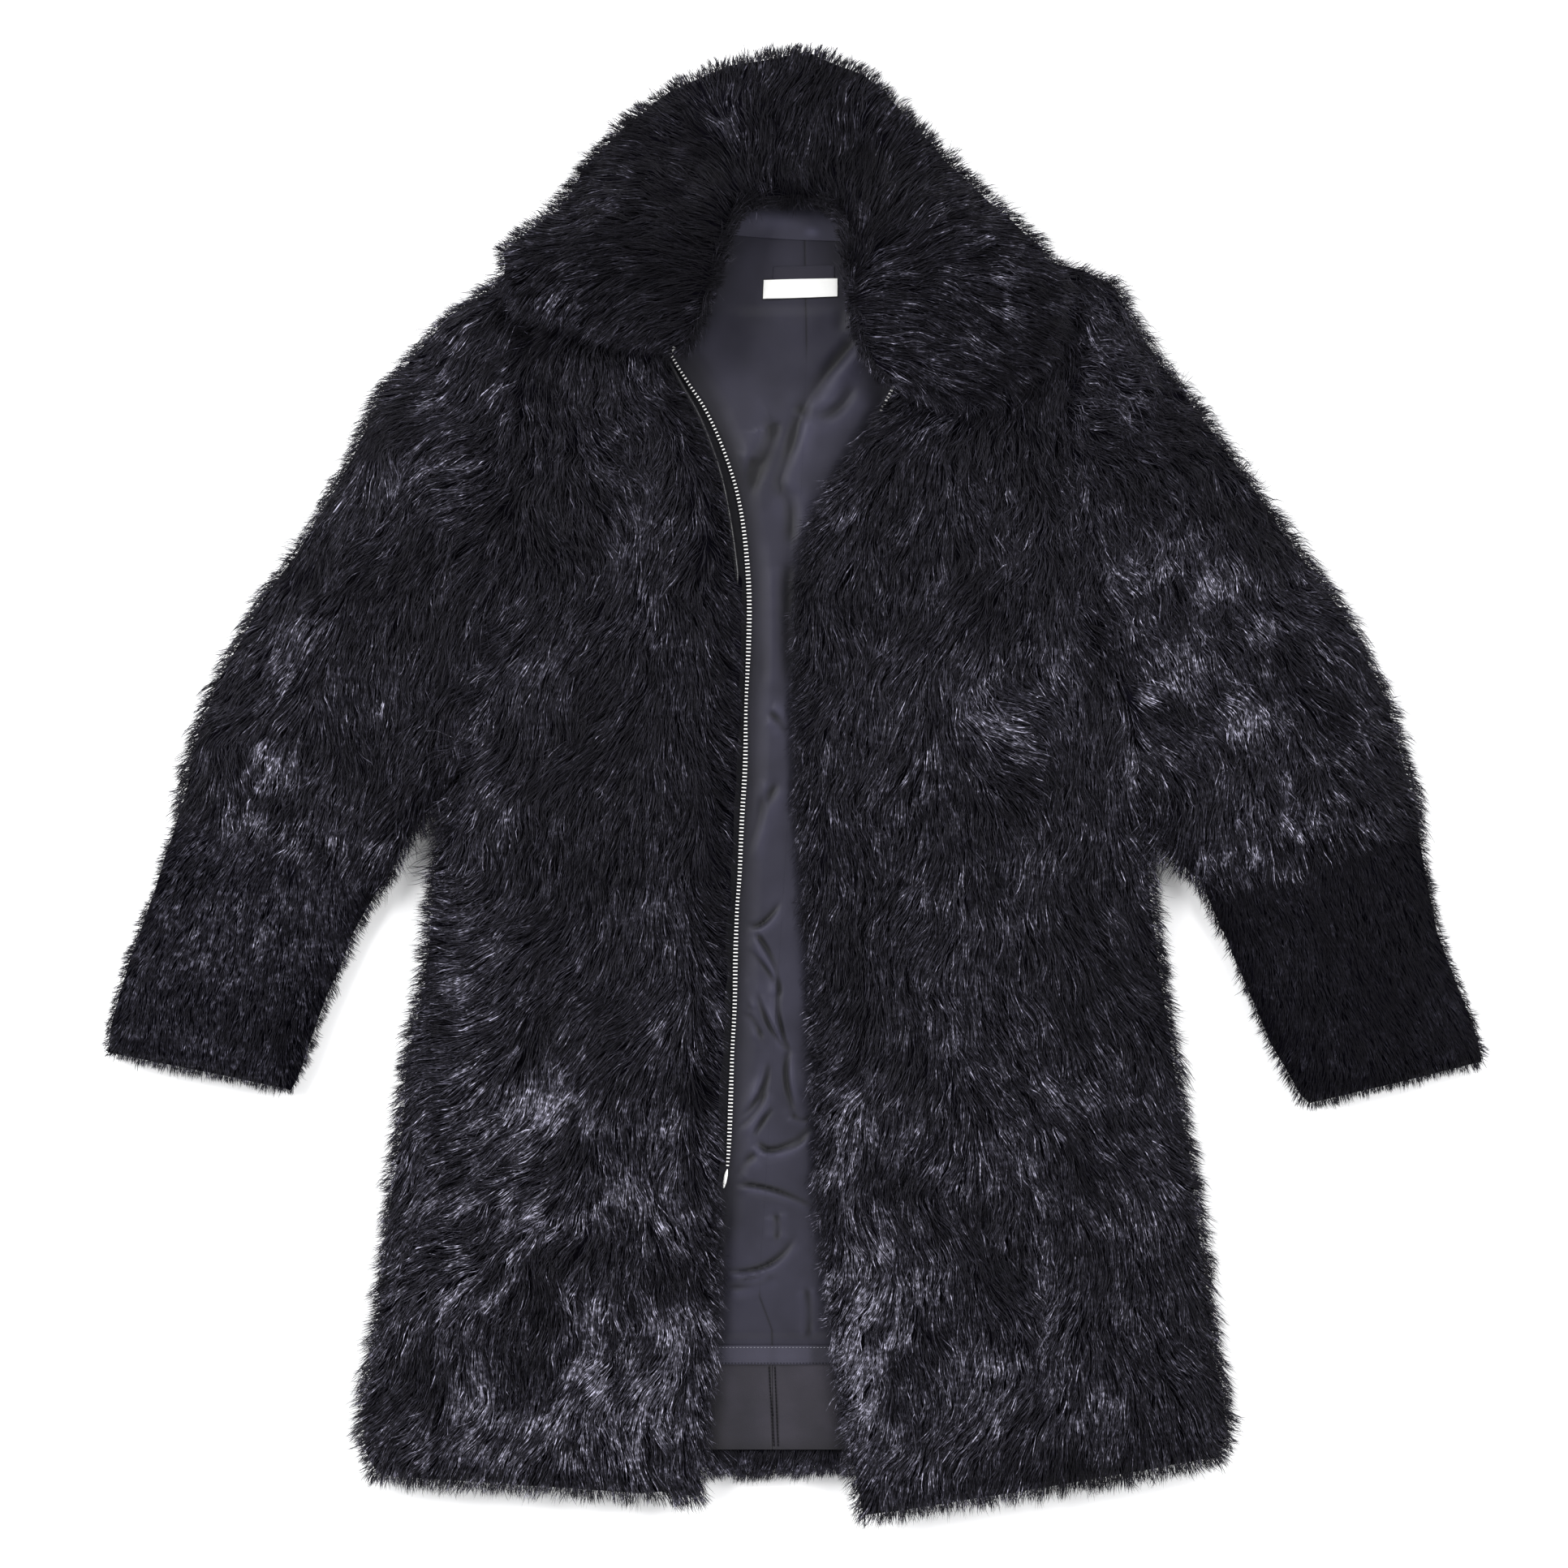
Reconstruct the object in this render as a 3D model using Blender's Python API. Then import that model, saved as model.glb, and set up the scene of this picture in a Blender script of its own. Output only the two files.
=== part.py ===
"""A long-haired black shearling coat, laid on its back with its front open.

Sizes are in millimetres until the meshes are written. +X is the wearer's left, +Y the head end, +Z up.
Each piece is a wall over a plan: a low and a high surface above the same grid of plan positions.
"""

import math

import bmesh
import bpy
import numpy as np

SEAM_GAP = 0.3
BACK_WALL = 14.0  # fur of the back, pressed by the coat's weight
LINING = 1.0
LINING_TOP = BACK_WALL + SEAM_GAP + LINING
FACING = 1.5
RIBBON = 1.0
ZIP_TAPE = 1.0
ZIP_CHAIN = 2.7
CHAIN_HALF_WIDTH = 1.9
FRONT_LOW = LINING_TOP + ZIP_CHAIN + 2 * SEAM_GAP
FRONT_FUR = 20.0
SLEEVE_UNDER = 16.0
SLEEVE_FUR = 22.0
CUFF_FUR = 15.0
COLLAR_UNDER = 12.0
COLLAR_FUR = 20.0
COLLAR_PRESS = 0.42  # share of the fur's height that the collar lying on it takes away

EDGE_STEPS = (0.0, 0.134, 0.5, 1.0)  # a quarter ellipse in three equal turns

# Sections of the fronts, head end first: the armhole and side edge, then the opening edge.
# outer_x, outer_y, inner_x, inner_y
FRONT_RIGHT = (
    (-200, 356, -52, 392),
    (-188, 328, -58, 356),
    (-185, 297, -66, 326),
    (-185, 264, -86, 303),
    (-188, 230, -73, 269),
    (-193, 191, -55, 239),
    (-200, 152, -45, 208),
    (-208, 107, -38, 169),
    (-218, 68, -36, 129),
    (-227, 31, -37, 87),
    (-234, 3, -38, 45),
    (-243, -23, -40, 3),
    (-249, -53, -43, -40),
    (-252, -82, -45, -82),
    (-255, -120, -46, -117),
    (-262, -156, -47, -151),
    (-270, -194, -49, -187),
    (-274, -235, -50, -223),
    (-280, -279, -51, -259),
    (-285, -330, -51, -302),
    (-290, -377, -53, -347),
    (-299, -422, -57, -391),
    (-301, -447, -61, -433),
    (-292, -477, -63, -492),
)
FRONT_LEFT = (
    (200, 360, 44, 392),
    (195, 328, 44, 356),
    (190, 297, 50, 322),
    (187, 264, 72, 284),
    (185, 230, 61, 255),
    (186, 191, 36, 227),
    (192, 152, 18, 194),
    (205, 113, 6, 160),
    (224, 76, 1, 124),
    (236, 37, 1, 82),
    (241, -8, 2, 40),
    (244, -33, 4, -2),
    (247, -58, 6, -41),
    (250, -82, 8, -82),
    (255, -120, 12, -114),
    (260, -156, 12, -150),
    (266, -195, 14, -187),
    (272, -237, 16, -223),
    (279, -279, 17, -263),
    (285, -324, 20, -305),
    (290, -372, 25, -352),
    (296, -408, 31, -400),
    (303, -439, 36, -450),
    (294, -466, 46, -506),
)
ARMHOLE_ROWS = 10  # rows of a front from the shoulder point to the underarm
SEAM_ROW = 13  # row of a front at its level seam
HEM_ROW = 23
ZIP_TOP_ROW = 3
PIPING_ROWS = (3.35, 7.8)
FUR_EDGE_TO_ZIP = 8.0
ZIP_END_ROW = 18.1

# Sections of the sleeves from the armhole to the level of the lower sleeve, then on to the wrist.
# outer_x, outer_y, inner_x, inner_y
SLEEVE_RIGHT = (
    (-200, 356, -234, 3),
    (-268, 303, -239, -2),
    (-302, 241, -244, -8),
    (-324, 197, -251, -15),
    (-346, 163, -260, -26),
    (-374, 124, -266, -36),
    (-397, 79, -272, -47),
    (-414, 40, -277, -55),
    (-426, -10, -280, -63),
)
CUFF_RIGHT = (
    (-426, -10, -280, -63),
    (-433, -44, -296, -86),
    (-447, -78, -307, -109),
    (-461, -117, -321, -142),
    (-474, -151, -332, -176),
    (-477, -184, -348, -210),
)
SLEEVE_LEFT = (
    (200, 360, 241, -8),
    (231, 340, 243, -16),
    (258, 286, 246, -25),
    (281, 263, 249, -32),
    (303, 230, 254, -39),
    (328, 194, 258, -44),
    (356, 157, 263, -49),
    (384, 118, 267, -53),
    (405, 76, 271, -57),
    (420, 31, 275, -61),
    (433, -16, 280, -67),
)
CUFF_LEFT = (
    (433, -16, 280, -67),
    (438, -67, 292, -92),
    (450, -109, 309, -128),
    (462, -138, 327, -173),
    (473, -163, 342, -207),
    (477, -190, 356, -221),
)

# Sections of the collar from its right front end round the back of the neck to its left one.
# inner_x, inner_y, outer_x, outer_y
COLLAR = (
    (-73, 298, -190, 332),
    (-63, 320, -205, 358),
    (-55, 342, -190, 381),
    (-48, 365, -162, 401),
    (-42, 384, -144, 435),
    (-36, 397, -106, 471),
    (-22, 402, -64, 496),
    (-2, 404, 4, 512),
    (18, 402, 54, 493),
    (30, 394, 90, 454),
    (34, 376, 121, 423),
    (35, 353, 146, 397),
    (37, 331, 172, 370),
    (43, 306, 180, 331),
    (54, 285, 162, 287),
    (69, 276, 121, 266),
)
NECK_CENTRE = (0.0, 340.0)

# Shoulder line of both sides: distance from the centre, height on the plan.
SHOULDER_X = (0, 45, 200, 260)
SHOULDER_Y = (400, 396, 360, 290)

# Centre back seam of the lining: level, place.
SEAM_LEVELS = (-392, -386, 0, 303, 396)
SEAM_PLACES = (-15, -15, -3, 9, 7)
LINING_BOTTOM = -392
LINING_SIDE_INSET = 17
LINING_SHOULDER_INSET = 14
LINING_FLAT = 5  # the lining lies flat this far out from the fronts' edges
FACING_BOTTOM = -458
RIBBON_TOP = -386
RIBBON_BOTTOM = -399

# Folds of the fur: hollows with a minus. x0, y0, x1, y1, height, half_width
FUR_FOLDS = (
    (-187, 328, -185, 230, -5, 14),
    (-156, 281, -190, 197, -4, 16),
    (-190, 197, -212, 96, -5, 16),
    (-212, 96, -226, 23, -5, 14),
    (144, 297, 140, 234, -4, 15),
    (140, 234, 155, 185, -5, 15),
    (155, 185, 161, 118, -4, 15),
    (206, 114, 238, 69, -5, 14),
    (47, -80, 50, -184, -6, 12),
    (146, -83, 151, -296, -4, 11),
    (81, -352, 79, -431, -4, 12),
    (-153, -100, -150, -218, -4, 12),
    (-300, 150, -250, 60, 4, 22),
    (330, 110, 300, 20, 4, 20),
    (-110, 150, -120, 20, 3, 26),
    (110, 60, 120, -60, 3, 24),
    (-200, -260, -190, -400, 3, 22),
    (200, -220, 215, -400, 3, 24),
    (0, 440, 0, 500, -4, 12),
    (-120, 400, -160, 350, 4, 18),
    (110, 360, 165, 320, 4, 18),
)

# Folds of the lining, raised. x0, y0, x1, y1, height, half_width
LINING_FOLDS = (
    (40, 314, 13, 279, 3.0, 9),
    (13, 279, -11, 204, 3.6, 9),
    (1, 261, -34, 204, 3.0, 8),
    (38, 290, 9, 267, 2.6, 7),
    (-17, 50, -6, 40, 2.4, 8),
    (-13, 2, -34, -46, 3.0, 9),
    (-34, -91, -7, -76, 2.6, 8),
    (-25, -103, -14, -160, 3.4, 8),
    (-37, -124, -23, -169, 2.6, 7),
    (-16, -187, -39, -234, 3.2, 9),
    (-5, -193, 0, -223, 2.4, 7),
    (-23, -247, 10, -235, 3.0, 8),
    (-43, -274, 10, -289, 3.0, 9),
    (-46, -332, 3, -307, 3.6, 10),
)
LINING_FOLD_EDGE = 14  # folds die out this far from the fronts

METRES = 0.001
MATERIALS = {
    "long_fur": ((0.010, 0.009, 0.014), 0.55, 0.0),
    "short_fur": ((0.007, 0.006, 0.009), 0.8, 0.0),
    "lining": ((0.040, 0.040, 0.048), 0.38, 0.0),
    "leather": ((0.012, 0.011, 0.013), 0.45, 0.0),
    "ribbon": ((0.020, 0.019, 0.022), 0.6, 0.0),
    "tape": ((0.010, 0.010, 0.011), 0.8, 0.0),
    "brass": ((0.55, 0.47, 0.33), 0.3, 1.0),
    "label_dark": ((0.060, 0.060, 0.066), 0.6, 0.0),
    "label_white": ((0.75, 0.75, 0.73), 0.6, 0.0),
}


def smooth(share):
    share = np.clip(share, 0.0, 1.0)
    return share * share * (3.0 - 2.0 * share)


def through(table, places):
    """Rows of a table at fractional places, on a smooth curve through them."""
    rows = np.array(table, float)
    padded = np.vstack([2 * rows[0] - rows[1], rows, 2 * rows[-1] - rows[-2]])
    places = np.asarray(places, float)
    start = np.clip(places.astype(int), 0, len(rows) - 2)
    t = (places - start)[:, None]
    a, b, c, d = (padded[start + k] for k in range(4))
    bend = (2 * a - 5 * b + 4 * c - d) * t * t + (3 * b - a - 3 * c + d) * t**3
    return 0.5 * (2 * b + (c - a) * t + bend)


def spaced(length, start_radius, end_radius, middle):
    """Shares of a length, close together where its ends are rounded."""
    start = [step * start_radius for step in EDGE_STEPS]
    end = [length - step * end_radius for step in reversed(EDGE_STEPS)]
    inner = np.linspace(start[-1], end[0], middle + 2)[1:-1]
    return np.concatenate([start, inner, end]) / length


def rounded(distance, radius, edge_share):
    """Share of the full height: edge_share at the edge, whole from the radius on."""
    q = np.clip(distance / radius, 0.0, 1.0)
    return edge_share + (1.0 - edge_share) * np.sqrt(1.0 - (1.0 - q) ** 2)


def steps_along(points):
    """Distance run along a line of points, from its first."""
    return np.concatenate([[0.0], np.cumsum(np.hypot(*np.diff(points, axis=0).T))])


def across(table, places, shares):
    """Plan grid of a panel: a line of points from outer to inner edge for each place."""
    ends = through(table, places)
    outer, inner = ends[:, None, :2], ends[:, None, 2:]
    return outer + (inner - outer) * np.asarray(shares)[None, :, None]


def edge_distances(plan):
    """Distance of each plan point from the panel's outer, inner, first and last edges."""
    middle = plan[:, plan.shape[1] // 2]
    run = steps_along(middle)[:, None]
    widths = np.hypot(*np.moveaxis(np.diff(plan, axis=1), 2, 0))
    from_outer = np.concatenate([np.zeros((len(plan), 1)), np.cumsum(widths, axis=1)], axis=1)
    return from_outer, from_outer[:, -1:] - from_outer, run, run[-1] - run


def folds_at(plan, folds):
    """Height of the folds at each plan point."""
    x, y = plan[..., 0], plan[..., 1]
    total = np.zeros(x.shape)
    for x0, y0, x1, y1, height, half_width in folds:
        length = math.hypot(x1 - x0, y1 - y0)
        ux, uy = (x1 - x0) / length, (y1 - y0) / length
        run = (x - x0) * ux + (y - y0) * uy
        beyond = np.maximum(np.maximum(-run, run - length), 0.0)
        aside = (x - x0) * uy - (y - y0) * ux
        total += height * np.exp(-(aside**2 + beyond**2) / half_width**2)
    return total


def waves(plan):
    """Slow rise and fall of the fur's locks."""
    x, y = plan[..., 0], plan[..., 1]
    long_wave = np.sin(x / 23.0 + 1.3 * np.sin(y / 61.0))
    short_wave = np.sin(y / 31.0 + 0.9 * np.sin(x / 37.0) + 1.0)
    return 1.1 * long_wave + 0.9 * short_wave


def collar_cover(plan):
    """One where the collar lies, none away from it."""
    turn = [math.atan2(row[2] - NECK_CENTRE[0], row[3] - NECK_CENTRE[1]) for row in COLLAR]
    reach = [math.hypot(row[2] - NECK_CENTRE[0], row[3] - NECK_CENTRE[1]) for row in COLLAR]
    turn = [turn[0] - 0.2, turn[0] - 0.1, *turn, turn[-1] + 0.1, turn[-1] + 0.2]
    reach = [0.0, reach[0], *reach, reach[-1], 0.0]
    x, y = plan[..., 0] - NECK_CENTRE[0], plan[..., 1] - NECK_CENTRE[1]
    edge = np.interp(np.arctan2(x, y), turn, reach)
    return smooth((edge + 14.0 - np.hypot(x, y)) / 26.0)


def fur_height(plan, fur):
    """Height of free fur above its skin, pressed down under the collar."""
    free = fur + waves(plan) + folds_at(plan, FUR_FOLDS)
    return free * (1.0 - COLLAR_PRESS * collar_cover(plan))


def beyond_shoulder(plan):
    """How far a plan point lies past the shoulder line, towards the head end."""
    return plan[..., 1] - np.interp(np.abs(plan[..., 0]), SHOULDER_X, SHOULDER_Y)


def collar_bed(plan):
    """What the collar lies on: the shoulders, then the ground past them."""
    on_fronts = FRONT_LOW + (FRONT_FUR + 3.0) * (1.0 - COLLAR_PRESS * collar_cover(plan)) + 3.2
    on_neck = LINING_TOP + 3.0
    height = on_neck + (on_fronts - on_neck) * smooth((np.abs(plan[..., 0]) - 26.0) / 26.0)
    return height * (1.0 - smooth((beyond_shoulder(plan) - 4.0) / 52.0))


def lining_rise(plan):
    """Height of the lining's folds, none near the fronts and the ribbon."""
    y = plan[..., 1]
    clear = 1e9
    for front, side in ((FRONT_RIGHT, 1), (FRONT_LEFT, -1)):
        edge = through(front, np.linspace(ZIP_TOP_ROW, HEM_ROW, 81))
        place = np.interp(-y, -edge[:, 3], edge[:, 2])
        clear = np.minimum(clear, side * (plan[..., 0] - place))
    window = smooth((clear - LINING_FLAT) / LINING_FOLD_EDGE)
    window = window * smooth((y - RIBBON_TOP - 4.0) / 20.0) * smooth((332.0 - y) / 14.0)
    return window * folds_at(plan, LINING_FOLDS)


def material_of(name):
    material = bpy.data.materials.get(name)
    if material is None:
        colour, roughness, metallic = MATERIALS[name]
        material = bpy.data.materials.new(name)
        material.use_nodes = True
        shader = material.node_tree.nodes["Principled BSDF"]
        shader.inputs["Base Color"].default_value = (*colour, 1.0)
        shader.inputs["Roughness"].default_value = roughness
        shader.inputs["Metallic"].default_value = metallic
        material.diffuse_color = (*colour, 1.0)
    return material


def wall(name, plan, low, high, material):
    """A closed solid between a low and a high surface over one plan grid."""
    rows, columns = plan.shape[:2]
    low = np.broadcast_to(low, (rows, columns))
    high = np.broadcast_to(high, (rows, columns))
    points = np.concatenate([np.dstack([plan, low]).reshape(-1, 3), np.dstack([plan, high]).reshape(-1, 3)])
    shift = rows * columns

    def at(i, j):
        return i * columns + j

    faces = []
    for i in range(rows - 1):
        for j in range(columns - 1):
            a, b, c, d = at(i, j), at(i + 1, j), at(i + 1, j + 1), at(i, j + 1)
            faces += [(a, b, c), (a, c, d)]
            faces += [(a + shift, c + shift, b + shift), (a + shift, d + shift, c + shift)]
    rim = [(at(i, 0), at(i + 1, 0)) for i in range(rows - 1)]
    rim += [(at(rows - 1, j), at(rows - 1, j + 1)) for j in range(columns - 1)]
    rim += [(at(i + 1, columns - 1), at(i, columns - 1)) for i in range(rows - 1)]
    rim += [(at(0, j + 1), at(0, j)) for j in range(columns - 1)]
    faces += [(b, a, a + shift, b + shift) for a, b in rim]

    mesh = bpy.data.meshes.new(name)
    mesh.from_pydata((points * METRES).tolist(), [], faces)
    obj = bpy.data.objects.new(name, mesh)
    bpy.context.scene.collection.objects.link(obj)
    mesh.materials.append(material_of(material))
    edit = bmesh.new()
    edit.from_mesh(mesh)
    bmesh.ops.recalc_face_normals(edit, faces=edit.faces)
    for face in edit.faces:
        face.smooth = True
    for edge in edit.edges:
        edge.smooth = edge.calc_face_angle(math.pi) < math.radians(40)
    edit.to_mesh(mesh)
    edit.free()
    return obj


def beside(line, offset):
    """A line moved sideways, to the right of its run where the offset is positive."""
    run = np.gradient(line, axis=0)
    run /= np.hypot(*run.T)[:, None]
    return line + np.column_stack([run[:, 1], -run[:, 0]]) * np.asarray(offset)[..., None]


def strip(line, near, far, columns=2):
    """Plan grid of a strip between two offsets of a line."""
    shares = np.linspace(0.0, 1.0, columns)
    return np.stack([beside(line, near + (far - near) * share) for share in shares], axis=1)


def opening_line(front, start, end, rows):
    return through(front, np.linspace(start, end, rows))[:, 2:]


def sleeve_shares():
    return spaced(230.0, 44.0, 40.0, 5)


def armhole_rows(front):
    """Places on a front's table where the sleeve's lines of points meet the armhole."""
    line = through(front, range(ARMHOLE_ROWS + 1))[:, :2]
    run = steps_along(line)
    return np.interp(sleeve_shares() * run[-1], run, range(ARMHOLE_ROWS + 1))


def moved_on(plan, gap):
    """The plan with its first row moved along by a seam's gap."""
    plan = plan.copy()
    step = plan[1] - plan[0]
    plan[0] += step / np.hypot(*step.T)[:, None] * gap
    return plan


def front_pieces(side, front, pulled_back):
    """Upper and lower panel of a front: fur over an open base that meets the back at side and shoulder."""
    shares = spaced(190.0, 30.0, 24.0, 4)
    armhole = armhole_rows(front)
    below = np.linspace(ARMHOLE_ROWS, SEAM_ROW, 4)[1:]
    lower = SEAM_ROW + (HEM_ROW - SEAM_ROW) * spaced(395.0, 20.0, 30.0, 9)
    for part, places in (("upper", np.concatenate([armhole, below])), ("lower", lower)):
        window = smooth((places - 1.6) / 1.0) * smooth((ZIP_END_ROW + 1.0 - places) / 1.5)
        ends = through(front, places)
        ends[:, 2] += np.sign(ends[:, 0]) * pulled_back * window
        plan = ends[:, None, :2] + (ends[:, None, 2:] - ends[:, None, :2]) * shares[None, :, None]
        if part == "lower":
            plan = moved_on(plan, SEAM_GAP)
        outer, inner, first, last = edge_distances(plan)
        joined = smooth((places - ARMHOLE_ROWS + 0.6) / 1.4)[:, None]
        share = rounded(outer, 30.0, 0.8 - 0.72 * joined) * rounded(inner, 24.0, 0.22)
        meets = joined * (1.0 - smooth(outer / 13.0))
        if part == "upper":
            share = share * rounded(first, 24.0, 0.35) * rounded(last, 16.0, 0.86)
            meets = np.maximum(meets, 1.0 - smooth(first / 11.0))
        else:
            share = share * rounded(first, 16.0, 0.86) * rounded(last, 30.0, 0.12)
        low = FRONT_LOW - (FRONT_LOW - BACK_WALL - SEAM_GAP) * meets
        high = low + 0.8 + (FRONT_LOW - low) * 0.5 + (fur_height(plan, FRONT_FUR) - 0.8) * share
        wall(f"front_{part}_{side}", plan, low, high, "long_fur")


def sleeve_pieces(side, front, sleeve, cuff):
    """A sleeve lying flat: its underside on the ground, its top over it, both in long fur, then the cuff."""
    shares = sleeve_shares()
    armhole = through(front, armhole_rows(front))[:, :2]
    places = (len(sleeve) - 1) * spaced(360.0, 26.0, 22.0, 7)
    plan = across(sleeve, places, shares)
    bow = armhole - plan[0]
    plan = plan + bow[None] * (1.0 - smooth(places / 2.6))[:, None, None]
    plan = moved_on(plan, SEAM_GAP)
    wrist = (len(cuff) - 1) * spaced(190.0, 14.0, 20.0, 2)
    cuff_plan = moved_on(across(cuff, wrist, shares), SEAM_GAP)
    for part, grid, fur, start_share, end_share, material in (
        ("sleeve", plan, SLEEVE_FUR, 0.74, 0.62, "long_fur"),
        ("cuff", cuff_plan, CUFF_FUR, 0.75, 0.3, "short_fur"),
    ):
        outer, inner, first, last = edge_distances(grid)
        crown = rounded(outer, 44.0, 0.04) * rounded(inner, 40.0, 0.04)
        share = crown * rounded(first, 26.0, start_share) * rounded(last, 22.0, end_share)
        meets = 1.0 - smooth(np.minimum(outer, inner) / 12.0)
        low = FRONT_LOW - (FRONT_LOW - SLEEVE_UNDER - SEAM_GAP) * meets
        high = low + 0.8 + (fur_height(grid, fur) - 0.8) * share
        wall(f"{part}_top_{side}", grid, low, high, material)
        lift = 7.0 * (1.0 - rounded(np.minimum(outer, inner), 18.0, 0.0))
        wall(f"{part}_under_{side}", grid, lift, SLEEVE_UNDER, material)


def back_piece():
    """The back lies under the fronts, from armhole to armhole and side seam to side seam."""
    armhole = armhole_rows(FRONT_RIGHT)
    armhole_left = armhole_rows(FRONT_LEFT)
    below = np.linspace(ARMHOLE_ROWS, SEAM_ROW, 4)[1:]
    lower = SEAM_ROW + (HEM_ROW - SEAM_ROW) * spaced(395.0, 20.0, 30.0, 9)[1:]
    right = through(FRONT_RIGHT, np.concatenate([armhole, below, lower]))[:, :2]
    left = through(FRONT_LEFT, np.concatenate([armhole_left, below, lower]))[:, :2]
    shares = spaced(440.0, 20.0, 20.0, 6)
    plan = right[:, None] + (left - right)[:, None] * shares[None, :, None]
    rise = np.interp(np.abs(shares - 0.5), (0.0, 0.11, 0.5), (41.0, 37.0, 0.0))
    fade = 1.0 - smooth(np.arange(len(plan)) / 9.0)
    plan[..., 1] += fade[:, None] * rise[None]
    outer, inner, first, last = edge_distances(plan)
    free = smooth((np.arange(len(plan)) - len(armhole) + 1.0) / 2.0)[:, None]
    lift = 7.0 * free * (1.0 - rounded(np.minimum(outer, inner), 20.0, 0.0))
    lift = np.maximum(lift, 6.0 * (1.0 - rounded(np.minimum(first, last), 20.0, 0.0)))
    hem_thin = 3.0 * (1.0 - rounded(last, 24.0, 0.0)) * smooth((np.abs(shares - 0.5) - 0.24) / -0.1)
    wall("back_panel", plan, lift, BACK_WALL - hem_thin, "long_fur")


def collar_pieces():
    """The collar fans out flat from the neck: over the shoulders, then down to the ground."""
    shares = spaced(110.0, 20.0, 32.0, 1)
    places = (len(COLLAR) - 1) * spaced(560.0, 24.0, 24.0, 16)
    plan = across(COLLAR, places, shares)
    inner, outer, first, last = edge_distances(plan)
    bed = collar_bed(plan)
    edge = np.minimum(outer, np.minimum(first, last))
    lift = 5.0 * (1.0 - rounded(edge, 16.0, 0.0))
    split = bed + COLLAR_UNDER
    wall("collar_under", plan, bed + lift, split, "long_fur")
    share = rounded(inner, 20.0, 0.4) * rounded(outer, 32.0, 0.1)
    share = share * rounded(first, 24.0, 0.25) * rounded(last, 24.0, 0.25)
    fur = COLLAR_FUR + waves(plan) + folds_at(plan, FUR_FOLDS)
    low = split + SEAM_GAP
    wall("collar_top", plan, low, low + 0.8 + (fur - 0.8) * share, "long_fur")


def lining_pieces():
    """Back lining in two halves: thin, loose, with its folds where it shows."""
    levels = np.linspace(394.0, LINING_BOTTOM, 32)
    seam = np.interp(levels, SEAM_LEVELS, SEAM_PLACES)
    inside = np.linspace(0.0, 1.0, 5)
    for side, front, sign in (("right", FRONT_RIGHT, -1), ("left", FRONT_LEFT, 1)):
        line = through(front, np.linspace(0, HEM_ROW, 120))
        shoulder = ([-396.0, *-line[:, 1]], [45.0, *np.abs(line[:, 0])])
        reach = np.interp(-levels - LINING_SHOULDER_INSET, *shoulder) - LINING_SIDE_INSET
        start = sign * seam + SEAM_GAP / 2
        shows = np.interp(-levels, -line[:, 3], np.abs(line[:, 2])) - LINING_FLAT
        shows = np.clip(shows, start + 4.0, np.maximum(reach - 6.0, start + 6.0))
        middle = (reach + shows) / 2
        seen = shows[:, None] + (start - shows)[:, None] * inside[None]
        x = sign * np.column_stack([reach, middle, seen])
        plan = np.dstack([x, np.repeat(levels[:, None], x.shape[1], axis=1)])
        low = BACK_WALL + SEAM_GAP + lining_rise(plan)
        wall(f"lining_{side}", plan, low, low + LINING, "lining")


def level_strip(top, bottom, xs, bow=0.0):
    """Plan grid of a level strip, its lower edge bowed down in the middle."""
    xs = np.asarray(xs, float)
    low_edge = bottom - bow * (1.0 - ((xs - xs.mean()) / (np.ptp(xs) / 2)) ** 2)
    return np.stack([np.column_stack([xs, np.full(len(xs), float(top))]), np.column_stack([xs, low_edge])])


def inside_pieces():
    """Neck band, labels, hem facing and ribbon: each lies on the lining or on the back."""
    band = level_strip(398.0, 381.0, np.linspace(-34.0, 30.0, 7), 2.0)
    band[0, :, 1] -= 9.0 * (np.linspace(-1.0, 1.0, 7)) ** 2
    low = LINING_TOP + SEAM_GAP
    wall("neck_band", band, low, low + 2.0, "leather")
    wall("label_dark", level_strip(361.5, 353.5, (-15, 28)), low, low + 1.0, "label_dark")
    wall("label_white", level_strip(351.5, 339.5, (-21, 30)), low, low + 1.0, "label_white")
    seam = SEAM_PLACES[0]
    base = BACK_WALL + SEAM_GAP
    top = LINING_BOTTOM - SEAM_GAP
    right = np.linspace(-278.0, seam - SEAM_GAP / 2, 6)
    left = np.linspace(seam + SEAM_GAP / 2, 280.0, 6)
    wall("hem_facing_right", level_strip(top, FACING_BOTTOM, right), base, base + FACING, "leather")
    wall("hem_facing_left", level_strip(top, FACING_BOTTOM, left), base, base + FACING, "leather")
    tape = level_strip(RIBBON_TOP, RIBBON_BOTTOM, np.linspace(-276.0, 276.0, 8))
    low = base + FACING + SEAM_GAP
    wall("hem_ribbon", tape, low, low + RIBBON, "ribbon")


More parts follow.
